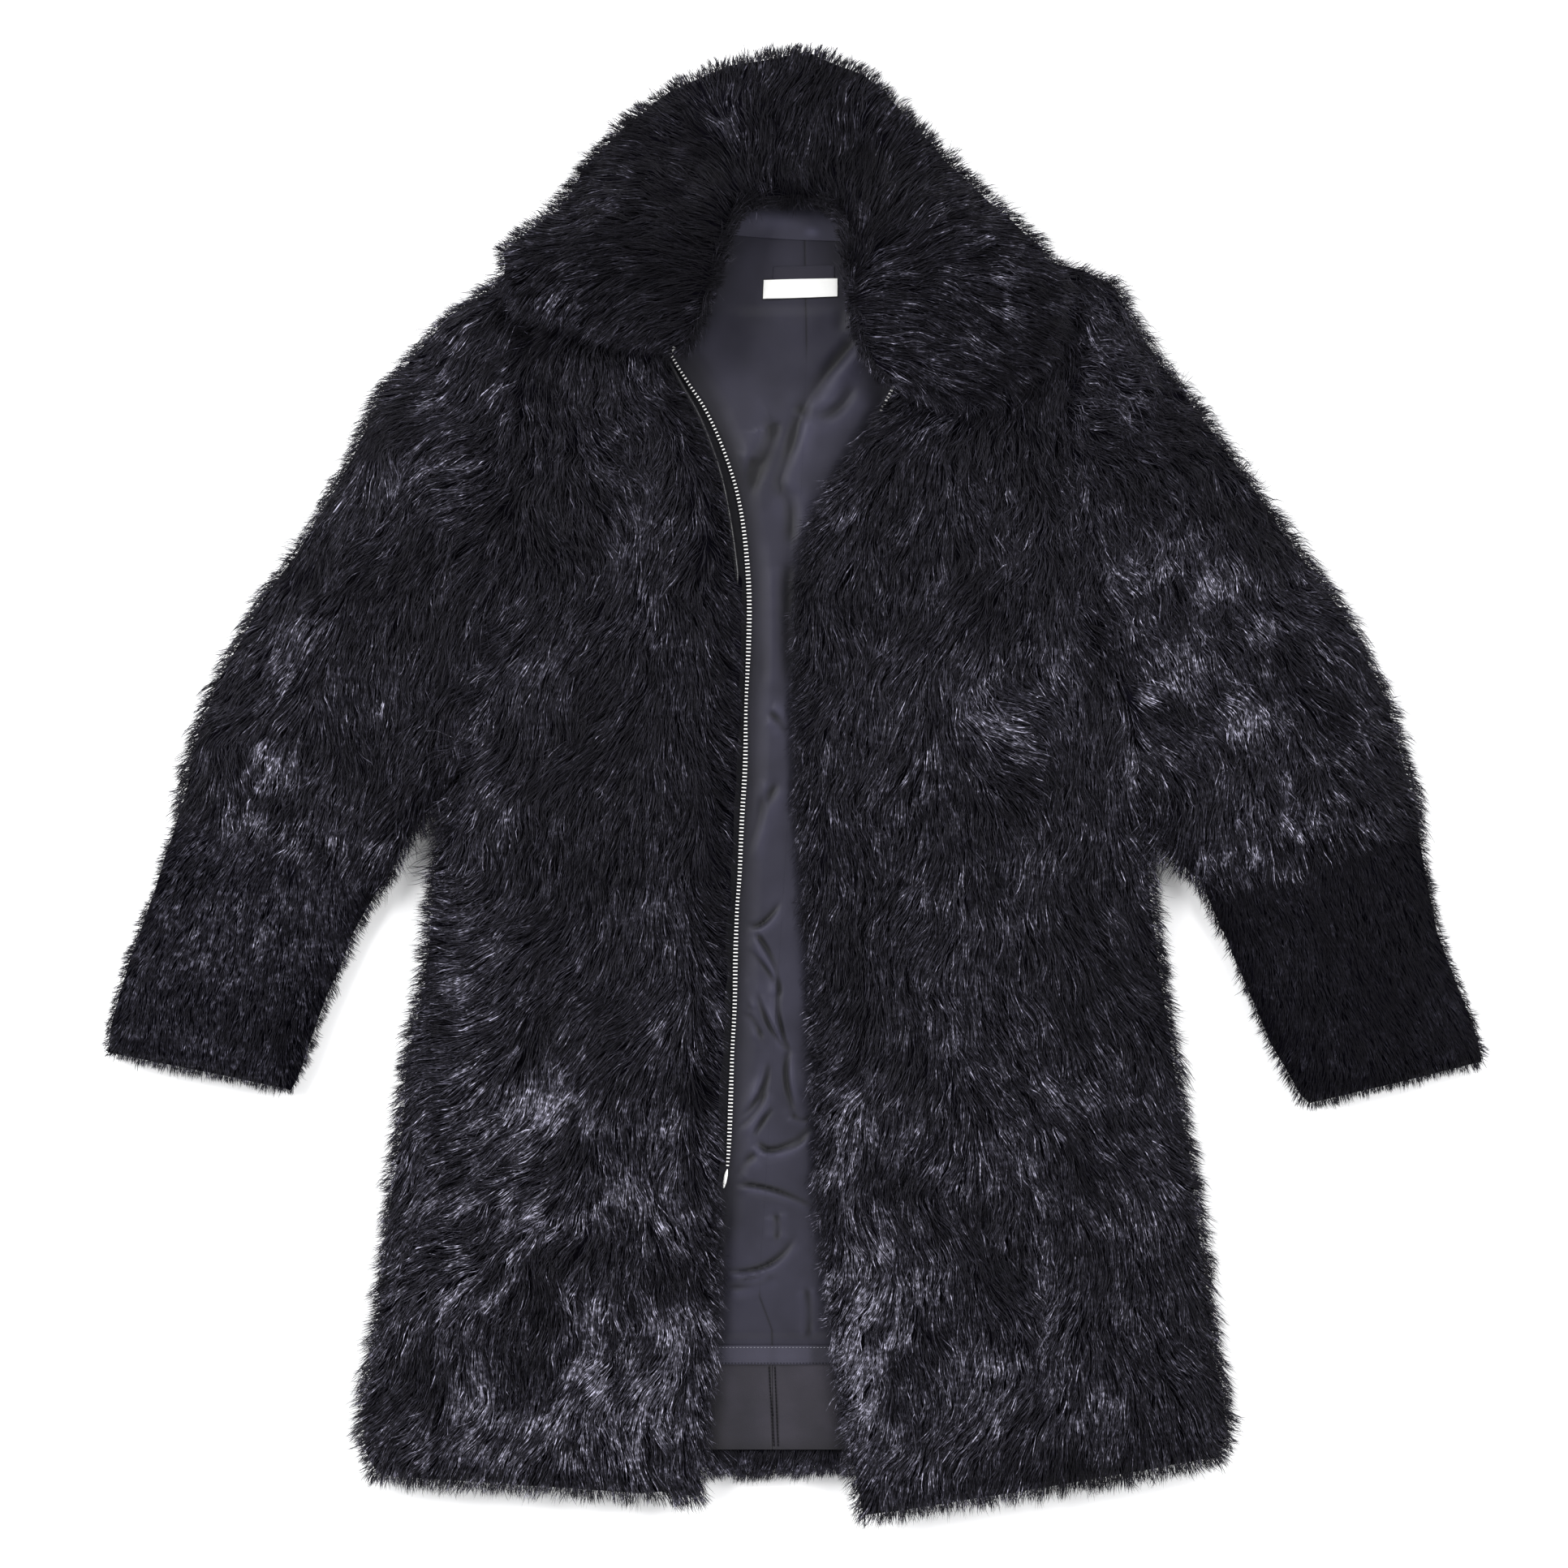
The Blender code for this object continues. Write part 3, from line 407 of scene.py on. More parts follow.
def painted_light_patch(px, py, half_x, half_y, amount, turn=0):
    """One patch of painted highlight over the grid, or of painted shade where its amount is below zero."""
    dx, dy = (CELL_PLACES[0] - plan_x(px)) / PIXEL, (CELL_PLACES[1] - plan_y(py)) / PIXEL
    c, s = math.cos(math.radians(turn)), math.sin(math.radians(turn))
    far = ((dx * c + dy * s) / half_x) ** 2 + ((dy * c - dx * s) / half_y) ** 2
    return amount * np.exp(-0.7 * far)


# All patches together: painted highlights and painted shade for the strands' colour.
PAINTED_SHINE = sum(painted_light_patch(*row) for row in PAINTED_LIGHT_PATCHES)
NECK = plan(978, 400)


def collar_lie(x, y):
    """The collar's fur runs out from the neck, and down towards its ends."""
    dx, dy = x - NECK[0], y - NECK[1]
    far = np.maximum(np.hypot(dx, dy), 1.0)
    ux, uy = dx / far, dy / far - 0.55 * smooth((np.abs(dx) - 40.0) / 120.0)
    return np.arctan2(uy, ux), np.full(len(x), 0.35)


# ---------------------------------------------------------------- mesh building


def new_object(name, mesh, material):
    obj = bpy.data.objects.new(name, mesh)
    bpy.context.scene.collection.objects.link(obj)
    mesh.materials.append(material)
    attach(obj, "root")
    return obj


def mesh_from(name, points, faces, uv=None, smooth_faces=True, normals=None, uv_name="strand"):
    """A mesh from points and faces of three or four corners, three padded with -1."""
    faces = np.asarray(faces)
    if faces.shape[1] == 3:
        faces = np.column_stack([faces, np.full(len(faces), -1)])
    sizes = np.where(faces[:, 3] < 0, 3, 4)
    corners = faces[faces >= 0]
    mesh = bpy.data.meshes.new(name)
    mesh.vertices.add(len(points))
    mesh.vertices.foreach_set("co", (np.asarray(points, float) * MM).astype(np.float32).ravel())
    mesh.loops.add(len(corners))
    mesh.loops.foreach_set("vertex_index", corners.astype(np.int32))
    mesh.polygons.add(len(faces))
    starts = np.concatenate([[0], np.cumsum(sizes)[:-1]])
    mesh.polygons.foreach_set("loop_start", starts.astype(np.int32))
    mesh.polygons.foreach_set("use_smooth", np.full(len(faces), smooth_faces))
    if uv is not None:
        layer = mesh.uv_layers.new(name=uv_name)
        layer.uv.foreach_set("vector", uv[corners].astype(np.float32).ravel())
    mesh.update(calc_edges=True)
    mesh.validate()
    if normals is not None:
        layer = mesh.attributes.new("custom_normal", "FLOAT_VECTOR", "POINT")
        layer.data.foreach_set("vector", normals.astype(np.float32).ravel())
    return mesh


def edited(mesh, change):
    """Runs a change on the mesh's bmesh."""
    edit = bmesh.new()
    edit.from_mesh(mesh)
    change(edit)
    edit.to_mesh(mesh)
    edit.free()


def unit(vectors, least=0.0):
    """Vectors of length 1, where they are longer than the least."""
    return vectors / np.maximum(np.linalg.norm(vectors, axis=2, keepdims=True), least)


def ribbons(path, side, facing, widths, shade, at):
    """Points, faces, UVs and round normals of tapering ribbons along paths of shape (count, steps, 3)."""
    count, steps = path.shape[:2]
    half = side[:, :-1] * widths[:, :-1, None] / 2
    edges = np.stack([path[:, :-1] - half, path[:, :-1] + half], axis=2).reshape(count, -1, 3)
    points = np.concatenate([edges, path[:, -1:]], axis=1)
    each = points.shape[1]
    base = np.arange(count)[:, None] * each
    faces = [base + np.array([2 * k, 2 * k + 1, 2 * k + 3, 2 * k + 2]) for k in range(steps - 2)]
    tip = base + np.array([each - 3, each - 2, each - 1, -1])
    tip[:, 3] = -1
    faces.append(tip)
    along = np.repeat(np.arange(steps) / (steps - 1), 2)[:-1]
    uv = np.empty((count, each, 2))
    uv[..., 0] = np.repeat(shade, 2, axis=1)[:, :-1]
    uv[..., 1] = np.clip(along[None] + at[:, None], 0.0, 1.0)
    tilt = side[:, :-1] * math.sin(ROUND)
    level = facing[:, :-1] * math.cos(ROUND)
    normals = np.stack([level - tilt, level + tilt], axis=2).reshape(count, -1, 3)
    normals = np.concatenate([normals, facing[:, -1:]], axis=1)
    least_up = 0.5
    normals[..., 2] += np.maximum(least_up - normals[..., 2], 0.0)
    return points.reshape(-1, 3), np.concatenate(faces), uv.reshape(-1, 2), unit(normals).reshape(-1, 3)


def locks_of(x, y, spacing, seed):
    """Nearest lock of each place: its centre, and a number of its own."""
    cx, cy = np.floor(x / spacing).astype(int), np.floor(y / spacing).astype(int)
    best = np.full(len(x), 1e9)
    centre = np.zeros((len(x), 2))
    number = np.zeros(len(x), int)
    jitter = np.random.default_rng(seed).uniform(0.05, 0.95, (LOCKS, LOCKS, 2))
    for a in (-1, 0, 1):
        for b in (-1, 0, 1):
            i, j = cx + a, cy + b
            spot = jitter[i % LOCKS, j % LOCKS]
            place = np.column_stack([(i + spot[:, 0]) * spacing, (j + spot[:, 1]) * spacing])
            far = (place[:, 0] - x) ** 2 + (place[:, 1] - y) ** 2
            near = far < best
            best = np.where(near, far, best)
            centre[near] = place[near]
            number = np.where(near, (i % LOCKS) * LOCKS + j % LOCKS, number)
    return centre, number


def room_beyond(x, y, edge, kind, reach):
    """How far past the edge a strand may go: little at the zip, more for a collar lying on fur."""
    if kind["lie"] == "collar":
        on_body = smooth((sample(BODY.edge, x, y) + 4.0) / 20.0)
        return reach + on_body * (6.0 + 0.8 * reach)
    zipped, zip_x = beside_zip(x, y)
    piped = smooth((y - plan_y(PIPING[-1][1])) / 8.0)
    gap = zip_x - x - edge
    close = np.clip(gap - 1.4 - 3.4 * piped, 0.0, 14.0) + (0.26 - 0.2 * piped) * reach
    return reach * (1 - zipped) + close * zipped


def run_strands(x, y, ground, kind, luck, length, spread, reach):
    """Plan path of strands: each follows the lie of the fur from its root and ends near the edge at most."""
    seed, steps, on_body = kind["seed"], kind["steps"], kind["lie"] == "body"
    phase = luck("phase") * 2 * math.pi
    wave = luck("wave") * 0.6 + 0.5
    angle, curl = body_lie(x, y) if on_body else collar_lie(x, y)
    angle = angle + kind["turn"] * 0.62 * lattice_noise(x, y, 52.0, seed + 1)
    angle = angle + kind["turn"] * (0.2 + 0.55 * curl) * lattice_noise(x, y, 21.0, seed + 2)
    ox, oy = ground.outward(x, y)
    edge = sample(ground.edge, x, y)
    rim = (kind["rim"] + (0.9 if on_body else 0.0) * beside_zip(x, y)[0]) * smooth(1.0 - edge / 24.0)
    angle = np.arctan2(np.sin(angle) + rim * oy, np.cos(angle) + rim * ox) + spread
    sway = ((0.03 + 0.55 * curl) * wave * kind["curl"])[:, None]
    turns = angle[:, None] + sway * np.sin(phase[:, None] + 2.1 * np.arange(1, steps)[None])
    moves = np.dstack([np.cos(turns), np.sin(turns)]) * (length / (steps - 1))[:, None, None]
    away = np.concatenate([np.zeros((len(x), 1, 2)), np.cumsum(moves, axis=1)], axis=1)
    root = np.column_stack([x, y])[:, None]
    limit = room_beyond(x, y, edge, kind, reach)
    share = np.ones(len(x))
    for _ in range(2):
        flat = (root + away * share[:, None, None]).reshape(-1, 2)
        past = -sample(ground.edge, flat[:, 0], flat[:, 1]).reshape(len(x), steps) - limit[:, None]
        for k in range(1, steps):
            over = (past[:, k] > 0) & (past[:, k - 1] <= 0)
            cut = (k - 1 + past[:, k - 1] / (past[:, k - 1] - past[:, k] - 1e-6)) / (steps - 1)
            share = np.where(over, share * np.clip(cut, 0.3, 1.0), share)
            past[over] = -1.0
    return root + away * share[:, None, None]


def strand_heights(root, flat, t, ground, kind, luck, rng):
    """Heights along each strand: its root sunk into the dense fur, then a hump over it."""
    count = len(root[0])

    def along(values):
        return sample(values, *flat).reshape(count, -1)

    z = along(ground.height)
    hump = np.interp(t, (0.0, 0.3, 0.65, 1.0), (0.0, 0.9, 1.0, 0.35))
    lift = kind["lift"] * (0.35 + luck("lift"))
    lift = lift + kind["lift"] * 0.55 * lattice_noise(*root, 30.0, kind["seed"] + 11)
    layer = rng.uniform(0.0, 1.0, count) ** 1.4 * kind["loose"]
    if kind["lie"] == "collar":
        z = np.where(along(BODY.edge) > -2.0, np.maximum(z, along(BODY.height) + 2.5), z)
    z = z - kind["sunk"] + (lift[:, None] + layer[:, None]) * hump[None]
    z = z - kind["droop"] * (1.0 - smooth((along(ground.edge) + 2.0) / 11.0))
    return np.maximum(z, 0.6 + 2.0 * rng.uniform(0, 1, count)[:, None])


def strand_sides(path, t, kind, luck, rng):
    """Across and facing direction of each ribbon along its path, twisted about it, face up."""
    tangent = unit(np.gradient(path, axis=1), 1e-6)
    across = unit(np.cross(tangent, (0.0, 0.0, 1.0)), 1e-6)
    over = np.cross(across, tangent)
    twist = rng.normal(0, kind["twist"], len(path)) + (luck("twist") - 0.5) * 0.9
    twist = twist[:, None, None] + 0.35 * (t[None, :, None] - 0.5)
    side = across * np.cos(twist) + over * np.sin(twist)
    face_down = np.cross(side, tangent)[:, len(t) // 2, 2] < 0
    side = np.where(face_down[:, None, None], -side, side)
    return side, np.cross(side, tangent)


def strand_shades(flat, t, kind, luck, rng):
    """Place of each strand's colours between darkest and brightest: the painted highlights and shade here,
    its lock's, its own, and a painted highlight on one stretch.
    """
    seed = kind["seed"]
    # The painted highlights and shade of the patches here, moved a little and scaled per lock, with random
    # tone from two noises added.
    stray = [12.0 * lattice_noise(*flat, 11.0, seed + k) for k in (16, 17)]
    shine = sample(PAINTED_SHINE, flat[0] + stray[0], flat[1] + stray[1])
    shine = shine * np.repeat(0.15 + 1.7 * luck("shine") ** 1.3, len(t))
    shine = shine + 0.27 * lattice_noise(*flat, 15.0, seed + 13)
    shine = shine + 0.12 * lattice_noise(*flat, 6.0, seed + 15)
    bright = kind["tone"] + 2.0 * (luck("tone") - 0.55)
    bright = bright + rng.normal(0, 0.88 * kind["vary"], len(bright))
    # band is a painted highlight on one stretch of each strand, at the same place through a lock.
    band = bell(t[None] - (0.25 + 0.5 * luck("band_place"))[:, None], 0.26) - 0.5
    bright = bright[:, None] + kind["band"] * (0.6 + 0.8 * luck("band"))[:, None] * band
    return np.clip(0.385 + (kind["shine"] * shine.reshape(bright.shape) + bright) / LOG_RANGE, 0.0, 1.0)


def grow(ground, kind, mask, draws):
    """Ribbons of fur rooted in the cells of a mask: points, faces, UVs and normals."""
    rng = np.random.default_rng(draws)
    gi, gj = np.nonzero(mask)
    count = int(len(gi) * CELL * CELL * kind["density"])
    pick = rng.integers(0, len(gi), count)
    x = GRID_X[gi[pick]] + rng.uniform(-0.5, 0.5, count) * CELL
    y = GRID_Y[gj[pick]] + rng.uniform(-0.5, 0.5, count) * CELL
    centre, number = locks_of(x, y, kind["lock"], kind["seed"])

    def luck(which):
        """A number from 0 to 1 of each strand's lock."""
        every = np.random.default_rng(kind["seed"] + LUCK[which]).uniform(0.0, 1.0, LOCKS * LOCKS)
        return every[number]

    size = kind["length"] * (0.72 + 0.42 * luck("size"))
    size = size * (1.0 + 0.22 * lattice_noise(x, y, 40.0, kind["seed"] + 9))
    least, most = kind["reach"]
    reach = least + (most - least) * (0.65 * luck("reach") ** 1.6 + 0.5 * rng.beta(1.3, 2.6, count))
    lock_reach = least + (most - least) * luck("reach") * 0.7
    strand = size * rng.uniform(0.78, 1.15, count)
    mine = run_strands(x, y, ground, kind, luck, strand, rng.normal(0, 0.2, count), reach)
    spread = (luck("spread") - 0.5) * 0.5
    shared = run_strands(*centre.T, ground, kind, luck, size, spread, lock_reach)

    t = np.linspace(0.0, 1.0, kind["steps"])
    edge = sample(ground.edge, x, y)
    tight = kind["clump"] * (0.75 + 0.5 * rng.uniform(0, 1, count)) * (0.55 + 0.45 * smooth(edge / 22.0))
    gather = (np.clip(tight, 0, 0.93)[:, None] * t[None] ** 1.1)[..., None]
    spots = mine * (1 - gather) + shared * gather
    flat = spots.reshape(-1, 2).T
    path = np.dstack([spots, strand_heights((x, y), flat, t, ground, kind, luck, rng)])
    side, facing = strand_sides(path, t, kind, luck, rng)
    width = kind["width"] * rng.uniform(0.6, 1.35, count) * (0.78 + 0.22 * smooth(edge / 16.0))
    taper = np.interp(t, (0.0, 0.25, 0.7, 1.0), (0.75, 1.0, 0.72, 0.0))
    shade = strand_shades(flat, t, kind, luck, rng)
    at = rng.uniform(-0.2, 0.2, count)
    return ribbons(path, side, facing, width[:, None] * taper[None], shade, at)


# ---------------------------------------------------------------- materials


def node_material(name):
    """A new material, its node tree, its shader and its place on the object."""
    material = bpy.data.materials.new(name)
    material.use_nodes = True
    tree = material.node_tree
    place = tree.nodes.new("ShaderNodeTexCoord")
    return material, tree, tree.nodes["Principled BSDF"], place.outputs["Object"]


def add(tree, kind, links=(), values=(), **settings):
    """A node with its settings, what its inputs are linked to, and the values of its other inputs."""
    node = tree.nodes.new(kind)
    for key, value in settings.items():
        setattr(node, key, value)
    feed(tree, node, links, values)
    return node


def feed(tree, node, links, values):
    for key, source in dict(links).items():
        tree.links.new(source, node.inputs[key])
    for key, value in dict(values).items():
        node.inputs[key].default_value = value


def ramp(tree, stops, source):
    """The colours of a ramp of (place, colour or grey)."""
    node = add(tree, "ShaderNodeValToRGB", {"Fac": source})
    while len(node.color_ramp.elements) < len(stops):
        node.color_ramp.elements.new(0.5)
    for element, (place, colour) in zip(node.color_ramp.elements, stops):
        element.position = place
        element.color = (*(colour if isinstance(colour, tuple) else (colour,) * 3), 1.0)
    return node.outputs["Color"]


def noise(tree, place, scale, detail=2.0):
    values = {"Scale": scale, "Detail": detail}
    return add(tree, "ShaderNodeTexNoise", {"Vector": place}, values).outputs["Fac"]


def multiplied(tree, first, second):
    links = {"A": first, "B": second}
    mix = add(tree, "ShaderNodeMix", links, {"Factor": 1.0}, data_type="RGBA", blend_type="MULTIPLY")
    return mix.outputs["Result"]


def relief(tree, height, strength, distance):
    values = {"Strength": strength, "Distance": distance}
    return add(tree, "ShaderNodeBump", {"Height": height}, values).outputs["Normal"]


def uv_axes(tree, name):
    place = add(tree, "ShaderNodeUVMap", uv_map=name)
    return add(tree, "ShaderNodeSeparateXYZ", {"Vector": place.outputs["UV"]}).outputs


def toned(tree, colour, shaded):
    """The colour, where shaded times twice the tone that the sheet's map holds."""
    if not shaded:
        return colour
    return multiplied(tree, colour, ramp(tree, ((0.0, 0.0), (1.0, 2.0)), uv_axes(tree, "tone")["X"]))


def fur_material(name, tint, rough, level):
    """Hair: near black, each strand its own shade on a steep scale, with painted shade at its root and
    painted glints.

    level is the strength of the reflection, here and in the other materials.
    """
    material, tree, shader, place = node_material(name)
    strand = uv_axes(tree, "strand")
    stops = []
    for share in (0.0, 0.2, 0.4, 0.55, 0.7, 0.8, 0.9, 1.0):
        value = DARKEST * math.exp(LOG_RANGE * share)
        stops.append((share, tuple(value * (c + (1 - c) * 0.55 * share) for c in tint)))
    tone = ramp(tree, stops, strand["X"])
    # painted shade: each strand's colour darkens towards its root, deep in the fur
    root = ramp(tree, ((0.0, 0.12), (0.3, 0.6), (0.6, 1.0), (1.0, 0.75)), strand["Y"])
    # painted glints: a fine noise brightens short stretches of the strands' colour
    painted_glint = ramp(tree, ((0.38, 0.28), (0.52, 0.7), (0.66, 2.2)), noise(tree, place, 300.0, 1.0))
    colour = multiplied(tree, multiplied(tree, tone, painted_glint), root)
    dull = ramp(tree, ((0.0, 0.8), (0.4, rough), (1.0, rough + 0.06)), strand["Y"])
    values = {"Specular IOR Level": level, "Specular Tint": (0.84, 0.81, 1.0, 1.0)}
    feed(tree, shader, {"Base Color": colour, "Roughness": dull}, values)
    return material


def cloth_material(name, dark, light, rough, scale, bump, sheen=0.0, level=0.4, shaded=False):
    """Cloth or leather: mottled from dark to light, with a fine grain in its bump and roughness."""
    material, tree, shader, place = node_material(name)
    tone = ramp(tree, ((0.3, dark), (0.7, light)), noise(tree, place, 26.0, 6.0))
    grain = noise(tree, place, scale, 4.0)
    links = {
        "Base Color": toned(tree, tone, shaded),
        "Normal": relief(tree, grain, bump, 0.0004),
        "Roughness": ramp(tree, ((0.3, rough - 0.06), (0.7, rough + 0.06)), grain),
    }
    feed(tree, shader, links, {"Specular IOR Level": level, "Sheen Weight": sheen})
    return material


def weave_material(name, colour, three_threads, rough, shaded=False):
    """Woven tape: warp and weft as crossed waves, about three of them in the length given, in metres."""
    material, tree, shader, place = node_material(name)
    both = add(tree, "ShaderNodeMix", data_type="FLOAT")
    both.inputs["Factor"].default_value = 0.5
    for direction, side in (("X", "A"), ("Y", "B")):
        values = {"Scale": 1.0 / three_threads, "Distortion": 0.4}
        wave = add(tree, "ShaderNodeTexWave", {"Vector": place}, values, bands_direction=direction)
        tree.links.new(wave.outputs["Fac"], both.inputs[side])
    weave = both.outputs["Result"]
    stops = [(at, tuple(c * factor for c in colour)) for at, factor in ((0.2, 0.7), (0.8, 1.2))]
    links = {
        "Base Color": toned(tree, ramp(tree, stops, weave), shaded),
        "Normal": relief(tree, weave, 0.5, 0.0003),
    }
    feed(tree, shader, links, {"Roughness": rough, "Specular IOR Level": 0.2})
    return material


def metal_material(name, dark, light, rough, metallic):
    """Metal with fine stains."""
    material, tree, shader, place = node_material(name)
    tone = ramp(tree, ((0.35, dark), (0.65, light)), noise(tree, place, 420.0))
    feed(tree, shader, {"Base Color": tone}, {"Metallic": metallic, "Roughness": rough})
    return material


VIOLET = (0.89, 0.83, 1.38)
LONG_FUR = fur_material("long_fur_strands", VIOLET, rough=0.34, level=0.2)
SOFT_FUR = fur_material("collar_fur_strands", VIOLET, rough=0.4, level=0.16)
SHORT_FUR = fur_material("short_fur_strands", VIOLET, rough=0.45, level=0.14)
UNDERFUR = cloth_material(
    "underfur", (0.0010, 0.0010, 0.0018), (0.0040, 0.0036, 0.0060),
    rough=0.85, scale=900.0, bump=0.8, level=0.0,
)
SATIN = cloth_material(
    "lining_cloth", (0.0110, 0.0104, 0.0185), (0.0180, 0.0171, 0.0290),
    rough=0.58, scale=2600.0, bump=0.12, sheen=0.1, level=0.2, shaded=True,
)
LEATHER = cloth_material(
    "leather_grain", (0.0095, 0.0087, 0.0140), (0.0195, 0.0170, 0.0250),
    rough=0.55, scale=1500.0, bump=0.35, level=0.3, shaded=True,
)
BAND = cloth_material(
    "neck_band_satin", (0.0220, 0.0212, 0.0350), (0.0300, 0.0290, 0.0470),
    rough=0.5, scale=1500.0, bump=0.2, level=0.3, shaded=True,
)
PIPING_LEATHER = cloth_material(
    "piping_leather", (0.006, 0.006, 0.008), (0.012, 0.0115, 0.015), rough=0.3, scale=1800.0, bump=0.2
)
THREAD = cloth_material(
    "thread", (0.0015, 0.0015, 0.002), (0.004, 0.004, 0.005), rough=0.8, scale=4000.0, bump=0.3, level=0.1
)
THREAD_LIGHT = cloth_material(
    "thread_light", (0.10, 0.10, 0.125), (0.15, 0.15, 0.18), rough=0.6, scale=4000.0, bump=0.3
)
RIBBON = weave_material(
    "ribbon_weave", (0.0325, 0.0310, 0.0480), three_threads=0.0016, rough=0.6, shaded=True
)
TAPE = weave_material("zip_tape_weave", (0.0045, 0.0045, 0.0065), three_threads=0.0011, rough=0.85)
LABEL_DARK = weave_material("label_dark_weave", (0.0215, 0.0205, 0.0310), three_threads=0.0012, rough=0.7)
LABEL_WHITE = weave_material("label_white_weave", (0.86, 0.86, 0.85), three_threads=0.0010, rough=0.65)
METAL = metal_material("zip_metal", (0.92, 0.91, 0.90), (1.0, 0.99, 0.98), rough=0.36, metallic=0.2)
# The zip's metal painted dark: painted shade for the parts that lie under the fur.
METAL_PAINTED_SHADE = metal_material(
    "zip_metal_painted_shade", (0.010, 0.010, 0.013), (0.020, 0.020, 0.024), rough=0.6, metallic=0.6
)


# ---------------------------------------------------------------- the fur

BODY = Ground(FRONTS + SLEEVES + CUFFS, fall=0.55)
COLLAR = Ground(("collar_top",), fall=0.5)
BOTTOM = Ground(UNDER, fall=0.4)
_, TOPMOST = drop_rays(SHOWN)

# Kinds of fur. Lengths: length, width, lock (from one to the next), lift (of the whole hump), loose (how much
# further single strands stand off), sunk (the roots), droop (at the edge), reach (past the edge, least and
# most) and within (how near the edge the roots are). Strengths: clump, twist, turn, curl, rim (turned out at
# the edge), shine (of the painted highlights and shade), vary (from strand to strand) and band (a painted
# highlight on one stretch). density is strands in a square millimetre, steps are points along a strand, and
# tone is brighter, or darker below zero.
LONG = {
    "lie": "body", "seed": 100, "density": 0.245, "length": 29.0, "steps": 4, "lock": 7.0, "clump": 0.42,
    "lift": 3.4, "loose": 5.0, "sunk": 4.5, "droop": 0.0, "twist": 0.3, "width": 0.57, "turn": 1.0,
    "curl": 1.0, "rim": 0.6, "reach": (1.5, 15.0), "tone": 0.0, "shine": 2.8, "vary": 1.2, "band": 1.7,
}
SLEEVE = {**LONG, "seed": 160, "density": 0.25, "length": 28.0, "rim": 0.5}
SHORT = {
    **LONG, "seed": 200, "density": 0.45, "length": 11.0, "steps": 3, "lock": 6.0, "clump": 0.25, "lift": 1.2,
    "loose": 1.6, "sunk": 2.2, "droop": 4.2, "width": 0.48, "turn": 0.5, "curl": 0.4, "rim": 0.5,
    "reach": (0.5, 6.0), "tone": 0.75, "shine": 2.0, "vary": 0.6, "band": 0.6,
}
DIM_SHORT = {**SHORT, "seed": 210, "tone": -0.8}
SOFT = {
    **LONG, "lie": "collar", "seed": 240, "density": 0.3, "length": 27.0, "lock": 8.5, "clump": 0.55,
    "lift": 3.6, "loose": 6.0, "turn": 0.9, "width": 0.56, "rim": 0.5, "reach": (2.0, 13.0), "tone": -0.06,
}
NECK_FRINGE = {
    **SOFT, "seed": 270, "density": 0.8, "length": 17.0, "rim": 2.6, "reach": (2.0, 9.0), "tone": -1.0,
    "lift": 1.5, "loose": 2.0, "within": 9.0,
}
WHISKERS = {
    **LONG, "seed": 360, "density": 0.42, "length": 19.0, "steps": 3, "lock": 5.0, "clump": 0.3,
    "width": 0.42, "rim": 1.1, "reach": (3.0, 17.0), "lift": 2.0, "loose": 4.0, "tone": -0.2, "within": 7.0,
}
COLLAR_WHISKERS = {**WHISKERS, "lie": "collar", "seed": 380}
LOW_FRINGE = {
    **LONG, "seed": 300, "density": 0.38, "length": 17.0, "steps": 3, "lock": 8.0, "clump": 0.5, "lift": 1.0,
    "loose": 1.5, "sunk": 0.0, "rim": 2.2, "reach": (2.0, 10.0), "tone": -0.1, "within": 9.0,
}
HEM = {
    **LOW_FRINGE, "seed": 330, "density": 1.1, "length": 24.0, "rim": 0.4, "sunk": -0.5, "lift": 2.0,
    "reach": (2.0, 15.0),
}


def on_top(*nodes):
    """Cells where one of these nodes is the topmost."""
    return np.isin(TOPMOST, [SHOWN.index(node) for node in nodes])


def fur_piece(name, grown, material=LONG_FUR):
    """A piece of what grow() has made."""
    points, faces, uv, normals = grown
    mesh = mesh_from(f"fur_{name}", points, faces, uv, normals=normals)
    return new_object(f"fur_{name}", mesh, material)


def panel_fur():
    """The fur of each panel that shows."""
    jobs = [(node, BODY, LONG, LONG_FUR, "long_fur") for node in FRONTS]
    jobs += [(node, BODY, SLEEVE, LONG_FUR, "long_fur") for node in SLEEVES]
    jobs += [(node, BODY, kind, SHORT_FUR, "short_fur") for node, kind in zip(CUFFS, (SHORT, DIM_SHORT))]
    jobs += [("collar_top", COLLAR, SOFT, SOFT_FUR, "long_fur")]
    made = {}
    for draws, (node, ground, kind, material, slot) in enumerate(jobs, 1000):
        made[node] = fur_piece(node, grow(ground, kind, on_top(node), draws), material)
    return made


def collar_fringe():
    """Fur of the collar's inner edge, lying over the lining's border."""
    x, y = CELL_PLACES
    from_neck = 110.0
    inward = COLLAR.out_x * (NECK[0] - x) + COLLAR.out_y * (NECK[1] - 20.0 - y)
    mask = on_top("collar_top") & (COLLAR.edge < NECK_FRINGE["within"]) & (inward > 0)
    mask = mask & (np.hypot(x - NECK[0], y - NECK[1]) < from_neck)
    fur_piece("collar_inner", grow(COLLAR, NECK_FRINGE, mask, 2200), SOFT_FUR)


def whiskers():
    """Fine hair along the outlines of body and collar."""
    free = beside_zip(*CELL_PLACES)[0] < 0.5
    for name, ground, owners, kind, draws in (
        ("body", BODY, FRONTS + SLEEVES, WHISKERS, 2304),
        ("collar", COLLAR, ("collar_top",), COLLAR_WHISKERS, 2306),
    ):
        mask = on_top(*owners) & (ground.edge < kind["within"]) & free
        fur_piece(f"whiskers_{name}", grow(ground, kind, mask, draws))


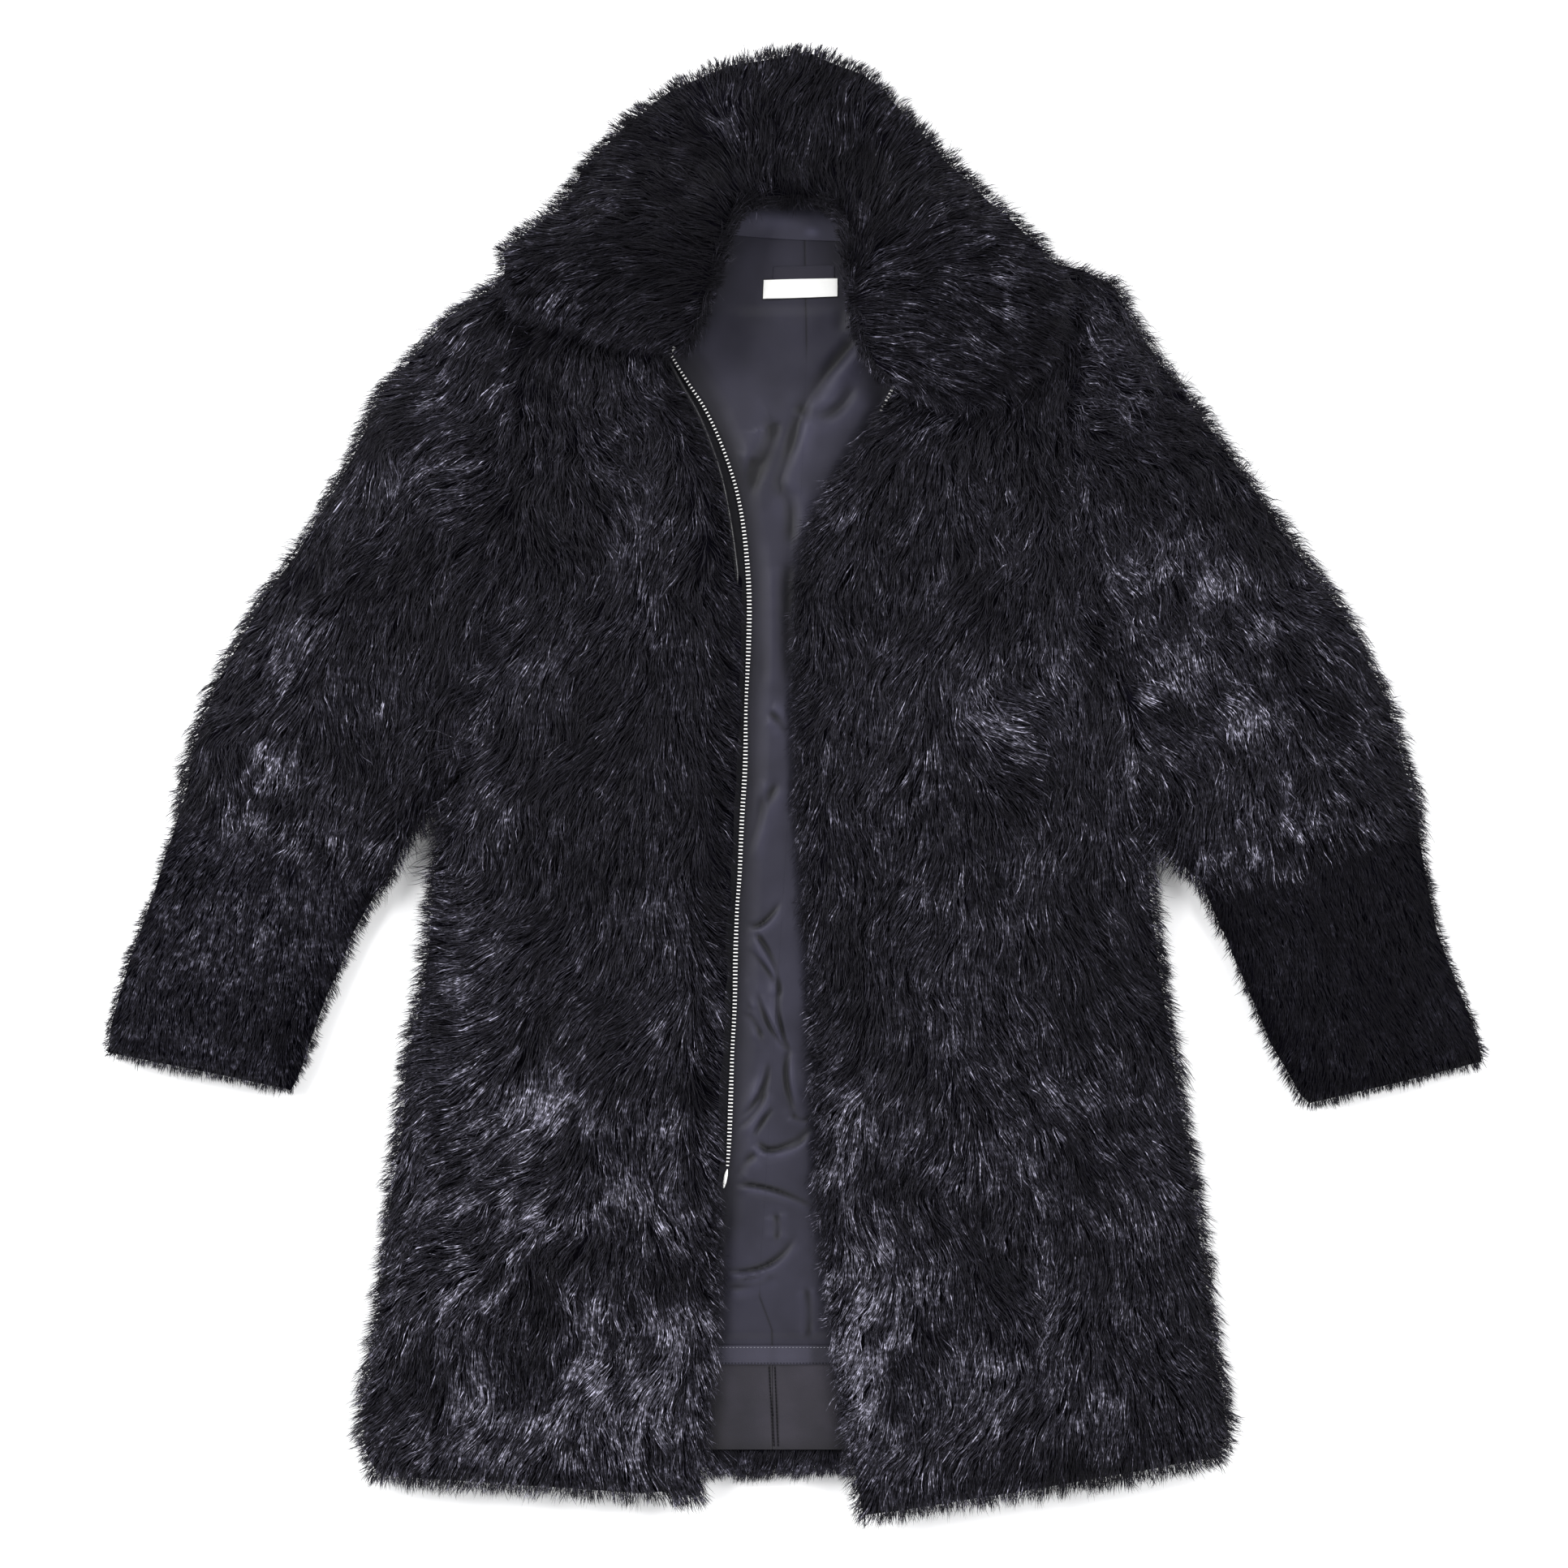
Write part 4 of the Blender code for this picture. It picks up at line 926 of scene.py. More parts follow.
def low_fringe():
    """Fur of the back and the undersides, out to the edges and down towards the ground."""
    most_lowered, least_height = 12.0, 0.7
    mask = (BOTTOM.edge > 0.0) & (BOTTOM.edge < LOW_FRINGE["within"])
    points, faces, uv, normals = grow(BOTTOM, LOW_FRINGE, mask, 2000)
    corners = 2 * LOW_FRINGE["steps"] - 1  # of a strand
    lower = np.random.default_rng(2001).uniform(0.0, most_lowered, len(points) // corners)
    points[:, 2] = np.maximum(points[:, 2] - np.repeat(lower, corners), least_height)
    fur_piece("low_edge", (points, faces, uv, normals))


def hem_strip():
    """The back's own fur, seen below the hem facing."""
    x, y = CELL_PLACES
    top, half_width = plan_y(FACING_FOOT), 90.0
    mask = on_top("back_panel") & (y < top) & (np.abs(x - SHIFT[0]) < half_width)
    fur_piece("back_hem", grow(BOTTOM, HEM, mask, 2100))


def divided_mesh(obj):
    """Divides each face of the object's mesh once, and gives back the mesh and its points."""
    modifier = obj.modifiers.new("divide", "SUBSURF")
    modifier.levels = modifier.render_levels = 1
    modifier.subdivision_type = "SIMPLE"
    graph = bpy.context.evaluated_depsgraph_get()
    mesh = bpy.data.meshes.new_from_object(obj.evaluated_get(graph))
    obj.modifiers.clear()
    obj.data = mesh
    places = np.empty(len(mesh.vertices) * 3, np.float32)
    mesh.vertices.foreach_get("co", places)
    return mesh, places.reshape(-1, 3).astype(float) / MM


DRAWN_FROM = 700  # py below which the dense fur is drawn out to the zip


def underfur(node, ground, inset, sink):
    """The dense fur under the strands: the solid's form, drawn in at its edges, lowered and made uneven."""
    obj = new_object(f"hide_{node}", mesh_from(f"hide_{node}", *node_mesh(node)), UNDERFUR)
    mesh, places = divided_mesh(obj)
    x, y, z = places.T
    edge = sample(ground.edge, x, y)
    ragged = inset + 1.6 * lattice_noise(x, y, 13.0, 79)
    pull = ragged * np.clip(1.0 - edge / 30.0, 0.0, 1.0)
    ox, oy = ground.outward(x, y)
    x -= ox * pull
    y -= oy * pull
    drawn = np.zeros(len(x))
    if node in FRONTS:
        zipped, zip_x = beside_zip(x, y)
        zipped = zipped * smooth((plan_y(DRAWN_FROM) - y) / 10.0)
        drawn = zipped * smooth(1.0 - edge / 14.0) * np.clip(zip_x - 2.4 - x - edge, 0.0, 12.0)
    x += drawn
    low, high = z.min(), z.max()
    share = (z - low) / (high - low)
    z -= np.minimum(1.5 * drawn * share, 0.75 * (z - low))
    z -= sink * share**0.7
    rough = lattice_noise(x, y, 17.0, 77) + 0.5 * lattice_noise(x, y, 8.0, 78)
    z += 1.1 * rough * share
    places = np.column_stack([x, y, np.maximum(z, 0.0)])
    mesh.vertices.foreach_set("co", (places * MM).astype(np.float32).ravel())
    mesh.polygons.foreach_set("use_smooth", np.full(len(mesh.polygons), True))
    mesh.update()
    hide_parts(node)
    return obj


def flat_size(node):
    low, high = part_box(node)
    return high[0] - low[0], high[1] - low[1]


def plan_area(node):
    """Area of a node seen from above."""
    points, faces = node_mesh(node)
    corners = points[faces]
    normal = np.cross(corners[:, 1] - corners[:, 0], corners[:, 2] - corners[:, 0])
    return float(np.maximum(normal[:, 2], 0.0).sum() / 2 * MM * MM)


LEAST_AREA = 0.31  # of a sheet that isn't a rectangle, as a share of its width times its length


def fur_panel(node, ground, inset=2.0, sink=0.0):
    """A panel's dense fur under its strands. Its flat size and area are worked out, and not used."""
    obj = underfur(node, ground, inset, sink)
    width, length = flat_size(node)
    area = max(min(plan_area(node) * 1.03, width * length), LEAST_AREA * width * length)


# ---------------------------------------------------------------- lining and what lies on it


def grid_piece(name, xs, ys, top, thickness, material, tone=None, open_below=False):
    """A sheet over rows and columns of places, with the height of its upper side and its rim turned down."""
    rows, columns = xs.shape
    upper = np.dstack([xs, ys, top]).reshape(-1, 3)
    index = np.arange(rows * columns).reshape(rows, columns)
    corners = index[:-1, :-1], index[1:, :-1], index[1:, 1:], index[:-1, 1:]
    squares = np.stack(corners, axis=-1).reshape(-1, 4)
    loop = np.concatenate([index[:-1, 0], index[-1, :-1], index[1:, -1][::-1], index[0, 1:][::-1]])
    below = loop if open_below else np.arange(rows * columns)
    points = np.concatenate([upper, upper[below] - np.array([0.0, 0.0, thickness])])
    foot = np.full(rows * columns, -1)
    foot[below] = rows * columns + np.arange(len(below))
    rim = np.column_stack([loop, foot[loop], foot[np.roll(loop, -1)], np.roll(loop, -1)])
    underside = [] if open_below else [foot[squares[:, ::-1]]]
    faces = np.concatenate([squares, *underside, rim])
    if (xs[0, -1] - xs[0, 0]) * (ys[-1, 0] - ys[0, 0]) > 0:
        faces = faces[:, ::-1]
    uv = None
    if tone is not None:
        uv = np.concatenate([tone.ravel(), tone.ravel()[below]])
        uv = np.column_stack([uv, np.full(len(uv), 0.5)])
    mesh = mesh_from(name, points, faces, uv, uv_name="tone")

    def keep_corners(edit):
        for edge in edit.edges:
            edge.smooth = edge.calc_face_angle(math.pi) < math.radians(50)

    edited(mesh, keep_corners)
    return new_object(name, mesh, material)


# Places on the lining, ribbon and facing, in pixels.
LINING_HEAD, LINING_FOOT = 266, 1671
FACING_FOOT = 1786
LOOSE_FROM, LOOSE_TO = 372, 1655  # py, from below the labels to the ribbon
NECK_FOOT = 520  # py
COLLAR_SHADOW = (1000, 545)  # it lies to the left of this place, around its py
DARK_CORNER = (994, 1585)  # the cloth is darker to the right of it and below it
SEAM_SHOWS = (450, 1585)  # above this py, and below this
CENTRE_BACK = 952  # px, on ribbon and facing
FACING_LINES = ((948, 3.2), (955, 2.2))  # px at their upper end, and how far right they run, in millimetres
LOWER_CREASES = 860  # creases all below this py are narrower, and darker

# Creases of the lining, in pixels of the photograph: start, middle, end, then depth and half width in
# millimetres, and the side on which the cloth stands up beside them (1 right of its run, -1 left, 0 both).
CREASES = (
    (915, 1132, 936, 1140, 962, 1110, 2.0, 3.4, 1), (931, 1150, 955, 1192, 959, 1232, 1.9, 3.2, 1),
    (959, 1228, 962, 1266, 975, 1298, 2.1, 3.0, 1), (934, 1226, 948, 1264, 972, 1298, 1.7, 3.0, -1),
    (912, 1206, 917, 1228, 924, 1247, 1.2, 2.8, -1), (905, 1248, 926, 1256, 939, 1282, 1.7, 3.2, 1),
    (972, 1296, 969, 1330, 979, 1373, 2.0, 3.4, -1), (947, 1311, 936, 1350, 905, 1384, 1.8, 3.4, 1),
    (953, 1367, 940, 1382, 928, 1404, 1.4, 3.0, 1), (935, 1408, 960, 1416, 1007, 1386, 2.3, 3.6, 1),
    (976, 1374, 990, 1381, 1004, 1374, 1.1, 2.8, 1), (907, 1449, 917, 1434, 933, 1422, 1.1, 4.6, 1),
    (897, 1461, 948, 1466, 1008, 1491, 1.9, 3.0, 1), (884, 1565, 940, 1563, 979, 1526, 2.3, 3.8, 1),
    (892, 1586, 925, 1584, 955, 1572, 1.3, 4.4, 0), (956, 1498, 958, 1512, 957, 1530, 1.0, 3.6, 0),
    (994, 1590, 997, 1622, 995, 1660, 0.9, 3.4, 0), (1056, 412, 1008, 472, 984, 512, 2.6, 4.2, -1),
    (986, 508, 972, 556, 958, 602, 2.5, 4.0, -1), (950, 520, 946, 552, 914, 612, 2.6, 4.6, 1),
    (990, 505, 1026, 506, 1054, 468, 1.8, 3.8, 0), (958, 600, 974, 622, 973, 674, 1.5, 4.2, -1),
    (948, 878, 958, 886, 970, 903, 1.2, 4.2, 0), (956, 965, 936, 1010, 916, 1056, 1.2, 5.5, 0),
    (966, 700, 972, 780, 962, 860, 1.0, 8.0, 0), (1036, 300, 1040, 360, 1034, 410, 1.8, 5.0, -1),
    (914, 1168, 938, 1186, 956, 1216, 1.3, 2.8, -1), (938, 1418, 966, 1420, 996, 1400, 1.2, 2.6, 1),
    (906, 1392, 930, 1372, 944, 1344, 1.1, 3.0, 0), (912, 1052, 930, 1018, 938, 978, 1.3, 4.0, 1),
    (890, 1577, 920, 1578, 952, 1567, 1.4, 2.8, 0), (930, 560, 916, 600, 905, 640, 2.0, 4.4, 1),
    (974, 690, 972, 760, 978, 830, 1.2, 5.0, -1), (932, 700, 938, 780, 934, 850, 0.9, 5.0, 0),
)
FLAT_PARTS = 14  # straight parts that stand for a crease's curve


def crease_run(x, y, start, middle, end):
    """How far places are aside of a crease, and where along it, from 0 to 1."""
    t = np.linspace(0.0, 1.0, FLAT_PARTS + 1)[:, None]
    line = start * (1 - t) ** 2 + (4 * middle - start - end) / 2 * 2 * t * (1 - t) + end * t**2
    best = np.full(x.shape, 1e9)
    aside, along = np.zeros(x.shape), np.zeros(x.shape)
    for k, (p, q) in enumerate(zip(line, line[1:])):
        run = q - p
        size = np.hypot(*run)
        u = np.clip(((x - p[0]) * run[0] + (y - p[1]) * run[1]) / size**2, 0, 1)
        dx, dy = x - p[0] - u * run[0], y - p[1] - u * run[1]
        far = np.hypot(dx, dy)
        near = far < best
        best = np.where(near, far, best)
        aside = np.where(near, np.copysign(far, (dx * run[1] - dy * run[0]) / size), aside)
        along = np.where(near, (k + u) / FLAT_PARTS, along)
    return aside, along


def crease_relief(x, y):
    """Sharp hollows with a soft rise beside them: their height, and their tone, painted shade in the hollows
    and painted light on the rises.
    """
    total, tone = np.zeros(x.shape), np.zeros(x.shape)
    for x0, y0, x1, y1, x2, y2, depth, width, side in CREASES:
        low_down = min(y0, y2) > LOWER_CREASES
        width = (0.6 if low_down else 1.05) * width
        aside, along = crease_run(x, y, plan(x0, y0), plan(x1, y1), plan(x2, y2))
        ends = smooth(along / 0.15 + 0.3) * smooth((1.0 - along) / 0.2 + 0.2)
        deep = depth * ends * (0.8 + 0.35 * np.sin(7.0 * along + x0))
        hollow = -bell(aside, width)
        rise = bell(aside - 2.0 * width, 1.7 * width) * (side >= 0)
        rise = rise + bell(aside + 2.0 * width, 1.7 * width) * (side <= 0)
        total += 1.45 * deep * (0.9 * hollow + 0.62 * rise)
        # painted shade in each hollow and painted light on its rise, stronger for the lower creases
        tone += deep * (1.1 * hollow / (1 + 0.3 * depth) + 0.34 * rise) * (1.0 if low_down else 0.62)
    return total, tone


def side_shade(x, y, near, wide):
    """Cloth darkens towards the fur that overhangs it on both sides."""
    left, right = opening_at(y)
    shade = 1.0
    for room in (x - left + 3.0, right + 3.0 - x):
        shade = shade * (near + (1 - near) * smooth(room / wide))
    return shade


def lining_top(x, y):
    """The lining's height, loose between the fronts and flat under them and the labels, and its tone, which
    holds painted shade and light.
    """
    left, right = opening_at(y)
    room = smooth((x - left - 1.0) / 13.0) * smooth((right + 3.0 - x) / 13.0)
    room = room * smooth((plan_y(LOOSE_FROM) - y) / 10.0) * smooth((y - plan_y(LOOSE_TO)) / 8.0)
    slow = 0.8 * lattice_noise(x, y, 34.0, 31) + 0.5 * lattice_noise(x, y, 15.0, 32)
    creases, tone = crease_relief(x, y)
    lively = 2.1 + slow + creases
    neck = smooth((y - plan_y(NECK_FOOT)) / 40.0)
    patch = 0.09 * lattice_noise(x, y, 26.0, 33) + 0.06 * lattice_noise(x, y, 9.0, 34)
    corner, middle = plan(*DARK_CORNER), plan(*COLLAR_SHADOW)
    darker = 0.16 * smooth((x - corner[0]) / 3.0) * smooth((corner[1] - y) / 12.0)
    shadow = 0.3 * bell(y - middle[1], 42.0) * smooth((middle[0] - x) / 30.0)
    # Besides random mottle and the darker cloth at DARK_CORNER, the tone holds painted shade and light: the
    # creases, the collar's shadow, and shade towards the overhanging fur.
    tone = (1.0 + room * tone + patch - darker - shadow) * side_shade(x, y, 0.42, 15.0 + 12.0 * neck)
    return LINING_TOP + room * np.maximum(lively, -0.2), 0.5 * np.clip(tone, 0.2, 1.6)


# The seam down the centre back, in pixels.
SEAM = ((991, 260), (994, 430), (973, 971), (937, 1560), (936, 1600), (951, 1640), (952, 1680))


def outer_edge(node, sign, ys):
    """x of the node's outer edge at each y."""
    points, _ = node_mesh(node)
    levels = np.unique(points[:, 1].round(1))
    edge = [np.max(sign * points[np.abs(points[:, 1] - level) < 0.2, 0]) for level in levels]
    return sign * (np.interp(ys, levels, edge) - 0.5)


def lining_pieces():
    """Two halves, sewn together down the centre back, in columns that are close together where they show."""
    ys = np.arange(plan_y(LINING_HEAD), plan_y(LINING_FOOT - 1), -1.5)
    ys = np.append(ys, plan_y(LINING_FOOT))
    line = plan_rows(SEAM)
    seam = np.interp(-ys, -line[:, 1], line[:, 0])
    left, right = opening_at(ys)
    for side, sign, edge in (("right", -1, left), ("left", 1, right)):
        node = f"lining_{side}"
        start = seam + sign * 0.02
        reach = outer_edge(node, sign, ys)
        shown = edge + sign * 5.0
        shown = np.where(sign * shown > sign * reach, reach * 0.9 + start * 0.1, shown)
        first = start[:, None] + sign * np.array([0.0, 0.5, 1.1])[None]
        inner = first[:, -1:] + (shown - first[:, -1])[:, None] * np.linspace(0.0, 1.0, 41)[None, 1:]
        outer = shown[:, None] + (reach - shown)[:, None] * np.array([0.33, 0.66, 1.0])[None]
        xs = np.column_stack([first, inner, outer])
        grid_y = np.repeat(ys[:, None], xs.shape[1], axis=1)
        top, tone = lining_top(xs, grid_y)
        near = xs - seam[:, None]
        head, foot = plan_y(SEAM_SHOWS[0]), plan_y(SEAM_SHOWS[1])
        sewn = smooth((grid_y - head) / 20.0) + smooth((foot - grid_y) / 12.0)
        sewn = np.clip(sewn, 0.04, 1.0)
        top = top - 0.12 * sewn * bell(near, 0.9)
        tone = tone * (1 - 0.62 * sewn * bell(near, 0.8))
        obj = grid_piece(f"cloth_{node}", xs, grid_y, top, 0.8, SATIN, tone, True)
        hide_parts(node)
        width, length = flat_size(node)
        area = max(LEAST_AREA * width * length, plan_area(node))


def strip_piece(name, size, top, thickness, material, outline, tone=None):
    """A sheet of (columns, rows) over an outline: a function of the shares (u, v) across and down."""
    u, v = np.meshgrid(np.linspace(0, 1, size[0]), np.linspace(0, 1, size[1]))
    xs, ys = outline(u, v)
    shade = 0.5 * np.clip(tone(xs, ys, u, v) if tone else np.ones(xs.shape), 0.0, 2.0)
    return grid_piece(name, xs, ys, top(xs, ys, u, v), thickness, material, shade)


def box_outline(node):
    low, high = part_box(node)

    def outline(u, v):
        return (low[0] + (high[0] - low[0]) * u) * 1000, (high[1] - (high[1] - low[1]) * v) * 1000

    return outline


def soft_edge(u, v, share, aspect):
    """Zero in the middle, falling to -1 at the edges, to round a strip's border."""
    near = np.minimum(np.minimum(u, 1 - u) * aspect, np.minimum(v, 1 - v))
    return np.sqrt(1 - (1 - np.clip(near / share, 0, 1)) ** 2) - 1


def hem_facing(side):
    """One half of the leather facing, with a seam at the centre back."""

    def top(xs, ys, u, v):
        ripple = 0.35 * lattice_noise(xs, ys, 30.0, 51) + 0.2 * lattice_noise(xs, ys, 11.0, 52)
        near_seam = np.abs(xs - plan_x(CENTRE_BACK))
        fold = -0.5 * bell(near_seam, 0.8) + 0.35 * bell(near_seam - 2.5, 1.8)
        return FACING_TOP + np.minimum(ripple, 0.25) + fold * 0.8

    def tone(xs, ys, u, v):
        lines = sum(bell(xs - plan_x(px) - lean * v, 0.45) for px, lean in FACING_LINES)
        patch = 0.16 * lattice_noise(xs, ys, 24.0, 56) + 0.10 * lattice_noise(xs, ys, 7.0, 57)
        shade = side_shade(xs, ys, 0.6, 12.0) * (1 - 0.45 * smooth((v - 0.86) / 0.14))
        return (1 + patch - 0.5 * lines) * shade

    node = f"hem_facing_{side}"
    obj = strip_piece(f"leather_{node}", (190, 14), top, 1.1, LEATHER, box_outline(node), tone)
    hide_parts(node)


def hem_ribbon():
    """The ribbon over the joint of lining and facing."""

    def top(xs, ys, u, v):
        sway = 0.18 * lattice_noise(xs, ys, 22.0, 53)
        puckers = 0.10 * np.sin(xs * 2.4) * bell(v - 0.08, 0.16)
        return RIBBON_TOP + sway + puckers + 0.12 * soft_edge(u, v, 0.12, 40.0)

    def tone(xs, ys, u, v):
        patch = 0.10 * lattice_noise(xs, ys, 16.0, 58)
        patch = patch - 0.42 * smooth((xs - plan_x(DARK_CORNER[0])) / 6.0)
        return (1.0 + patch - 0.16 * bell(xs - plan_x(CENTRE_BACK), 3.0)) * side_shade(xs, ys, 0.6, 10.0)

    node = "hem_ribbon"
    obj = strip_piece("woven_hem_ribbon", (260, 7), top, 0.6, RIBBON, box_outline(node), tone)
    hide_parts(node)


# Of the neck band, in pixels: upper left and lower right corner, and the middle of a small painted highlight.
BAND_HEAD, BAND_FOOT, BAND_HIGHLIGHT = (878, 238), (1041, 291), (1001, 284)


def neck_band():
    """The satin band at the back of the neck, with a roll along its lower edge."""
    left, right = plan_x(BAND_HEAD[0]), plan_x(BAND_FOOT[0])

    def outline(u, v):
        top_y = plan_y(BAND_HEAD[1]) - 2.0 * (2 * u - 1) ** 2
        low_y = plan_y(BAND_FOOT[1]) - 1.5 + 5.0 * (1 - u) ** 2 - 0.5 * u
        return left + (right - left) * u, top_y + (low_y - top_y) * v

    def tone(xs, ys, u, v):
        # The first term is a broad painted highlight across the band and the spot a small one; the tone also
        # darkens towards the band's upper edge, and at its sides.
        painted_light = 0.6 * bell(u - 0.46, 0.19) * bell(v - 0.62, 0.2)
        spot = bell(xs - plan_x(BAND_HIGHLIGHT[0]), 4.5) * bell(ys - plan_y(BAND_HIGHLIGHT[1]), 3.0)
        return (0.95 + painted_light + spot) * side_shade(xs, ys, 0.45, 12.0) * (0.1 + 0.9 * smooth((v - 0.1) / 0.4))

    def top(xs, ys, u, v):
        crown = 1.5 * np.sin(math.pi * np.clip(v, 0, 1)) ** 1.6
        roll = 0.5 * bell(v - 0.85, 0.1) * smooth((u - 0.53) / 0.26)
        return BAND_TOP + crown + roll + 0.3 * lattice_noise(xs, ys, 12.0, 54)

    obj = strip_piece("satin_neck_band", (60, 16), top, 0.9, BAND, outline, tone)
    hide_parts("neck_band")


# Corners of the labels, in pixels, from the upper left one round to the lower left.
DARK_CORNERS = ((953, 327), (1028, 325), (1028, 343), (952, 343))
WHITE_CORNERS = ((941, 343), (1032, 341), (1032, 363), (940, 366))


def label(node, material, corners, lift):
    """A bare woven label, the white one over a dark sheet a little larger and lower: its painted shadow."""
    spots = plan_rows(corners)

    def outline(u, v):
        u, v = u[..., None], v[..., None]
        upper, lower = (1 - u) * spots[0] + u * spots[1], (1 - u) * spots[3] + u * spots[2]
        x, y = np.moveaxis((1 - v) * upper + v * lower, -1, 0)
        return x, y + 0.35 * np.sin(math.pi * u[..., 0]) * (0.5 - v[..., 0])

    def top(xs, ys, u, v):
        wave = 0.25 * lattice_noise(xs, ys, 10.0, 55) + 0.12 * np.sin(u * 9)
        return LABEL_TOP + lift + wave + 0.3 * soft_edge(u, v, 0.10, 4.0)

    if node == "label_white":

        def wider(u, v):
            x, y = outline(u, v)
            return x + (u - 0.5) * 1.1, y + (0.5 - v) * 1.1 - 0.15

        # A dark sheet under the white label, a little larger and set lower: a painted shadow round it.
        strip_piece("label_painted_shadow", (24, 6), lambda *at: top(*at) - 0.55, 0.4, PIPING_LEATHER, wider)
    obj = strip_piece(f"woven_{node}", (46, 12), top, 0.5, material, outline)
    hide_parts(node)


# ---------------------------------------------------------------- zip, piping and stitches


def line_through(rows, spacing):
    """Evenly spaced points, with their other columns, along a smooth line through rows of pixels."""
    rows = np.array(rows, float)
    spots = np.column_stack([plan_rows(rows[:, :2]), rows[:, 2:]])
    padded = np.vstack([2 * spots[0] - spots[1], spots, 2 * spots[-1] - spots[-2]])
    fine = []
    for a, b, c, d in zip(padded, padded[1:], padded[2:], padded[3:]):
        for t in np.linspace(0, 1, 24, endpoint=False):
            curve = (2 * a - 5 * b + 4 * c - d) * t**2 + (3 * b - a - 3 * c + d) * t**3
            fine.append(0.5 * (2 * b + (c - a) * t + curve))
    fine = np.array([*fine, spots[-1]])
    run = np.concatenate([[0], np.cumsum(np.hypot(*np.diff(fine[:, :2], axis=0).T))])
    at = np.arange(0, run[-1], spacing)
    return np.column_stack([np.interp(at, run, column) for column in fine.T])


def headings_of(spots):
    run = np.gradient(spots, axis=0)
    return run / np.hypot(*run.T)[:, None]


def aside_of(headings):
    """Unit vectors to the right of each heading."""
    return np.column_stack([headings[:, 1], -headings[:, 0]])


def offset_line(spots, aside):
    return spots + aside_of(headings_of(spots)) * aside


def blocks(name, spots, headings, sizes, height, thick, material=METAL, pinch=0.72):
    """Small blocks with drawn-in tops along a line: teeth or stitches. Sizes are (across, along)."""
    sizes = np.broadcast_to(sizes, (len(spots), 2))
    square = ((-1, -1), (1, -1), (1, 1), (-1, 1))
    points = []
    for spot, heading, across, (wide, long) in zip(spots, headings, aside_of(headings), sizes):
        for level, drawn in ((0.0, 1.0), (0.62, 1.0), (1.0, pinch)):
            for a, b in square:
                at = spot + across * a * wide / 2 * (1 - (1 - drawn) * 0.5) + heading * b * long / 2 * drawn
                points.append((*at, height + thick * level))
    pattern = [(3, 2, 1, 0), (8, 9, 10, 11)]
    for ring in (0, 4):
        for k in range(4):
            n = (k + 1) % 4
            pattern.append((ring + k, ring + n, ring + 4 + n, ring + 4 + k))
    faces = np.concatenate([np.array(pattern) + 12 * k for k in range(len(spots))])
    return new_object(name, mesh_from(name, np.array(points), faces, smooth_faces=False), material)


def tube(name, spots, heights, radius, material, flat=0.7, sides=10):
    """A soft round strip along a line, a little flattened, its ends rounded."""
    heights = np.broadcast_to(heights, len(spots))
    turn = np.linspace(0, 2 * math.pi, sides, endpoint=False)
    from_end = np.minimum(np.arange(len(spots)), np.arange(len(spots))[::-1])
    radii = radius * np.sqrt(np.clip(from_end / 3.0, 0.08, 1))
    points = []
    for spot, aside, height, wide in zip(spots, aside_of(headings_of(spots)), heights, radii):
        ring = spot[None] + aside[None] * (np.cos(turn) * wide)[:, None]
        points.append(np.column_stack([ring, height + np.sin(turn) * wide * flat]))
    j = np.arange(sides)
    n = (j + 1) % sides
    starts = sides * np.arange(len(spots) - 1)
    faces = np.concatenate([np.column_stack([a + j, a + n, a + sides + n, a + sides + j]) for a in starts])
    mesh = mesh_from(name, np.concatenate(points), faces)

    def close_ends(edit):
        bmesh.ops.holes_fill(edit, edges=edit.edges)
        bmesh.ops.recalc_face_normals(edit, faces=edit.faces)

    edited(mesh, close_ends)
    return new_object(name, mesh, material)


def ribbon_along(name, spots, height, near, far):
    """A flat zip tape between two offsets of a line."""
    edges = np.array([offset_line(spots, near + (far - near) * share) for share in np.linspace(0, 1, 5)])
    xs, ys = edges[..., 0].T, edges[..., 1].T
    return grid_piece(name, xs, ys, np.full(xs.shape, height), 0.6, TAPE)


PIPING = ((826, 441), (842, 470), (862, 505), (880, 548), (893, 590), (903, 640), (910, 690), (913, 722))
PIN = ((896, 1442), (893.5, 1454), (891, 1467))
STOP, STOP_FOOT = (830, 427), (829, 430)  # at the upper end of the right chain
LEFT_TOP = ((1101, 476), (1086, 504), (1070, 530))  # of the left chain, where its end shows by the collar


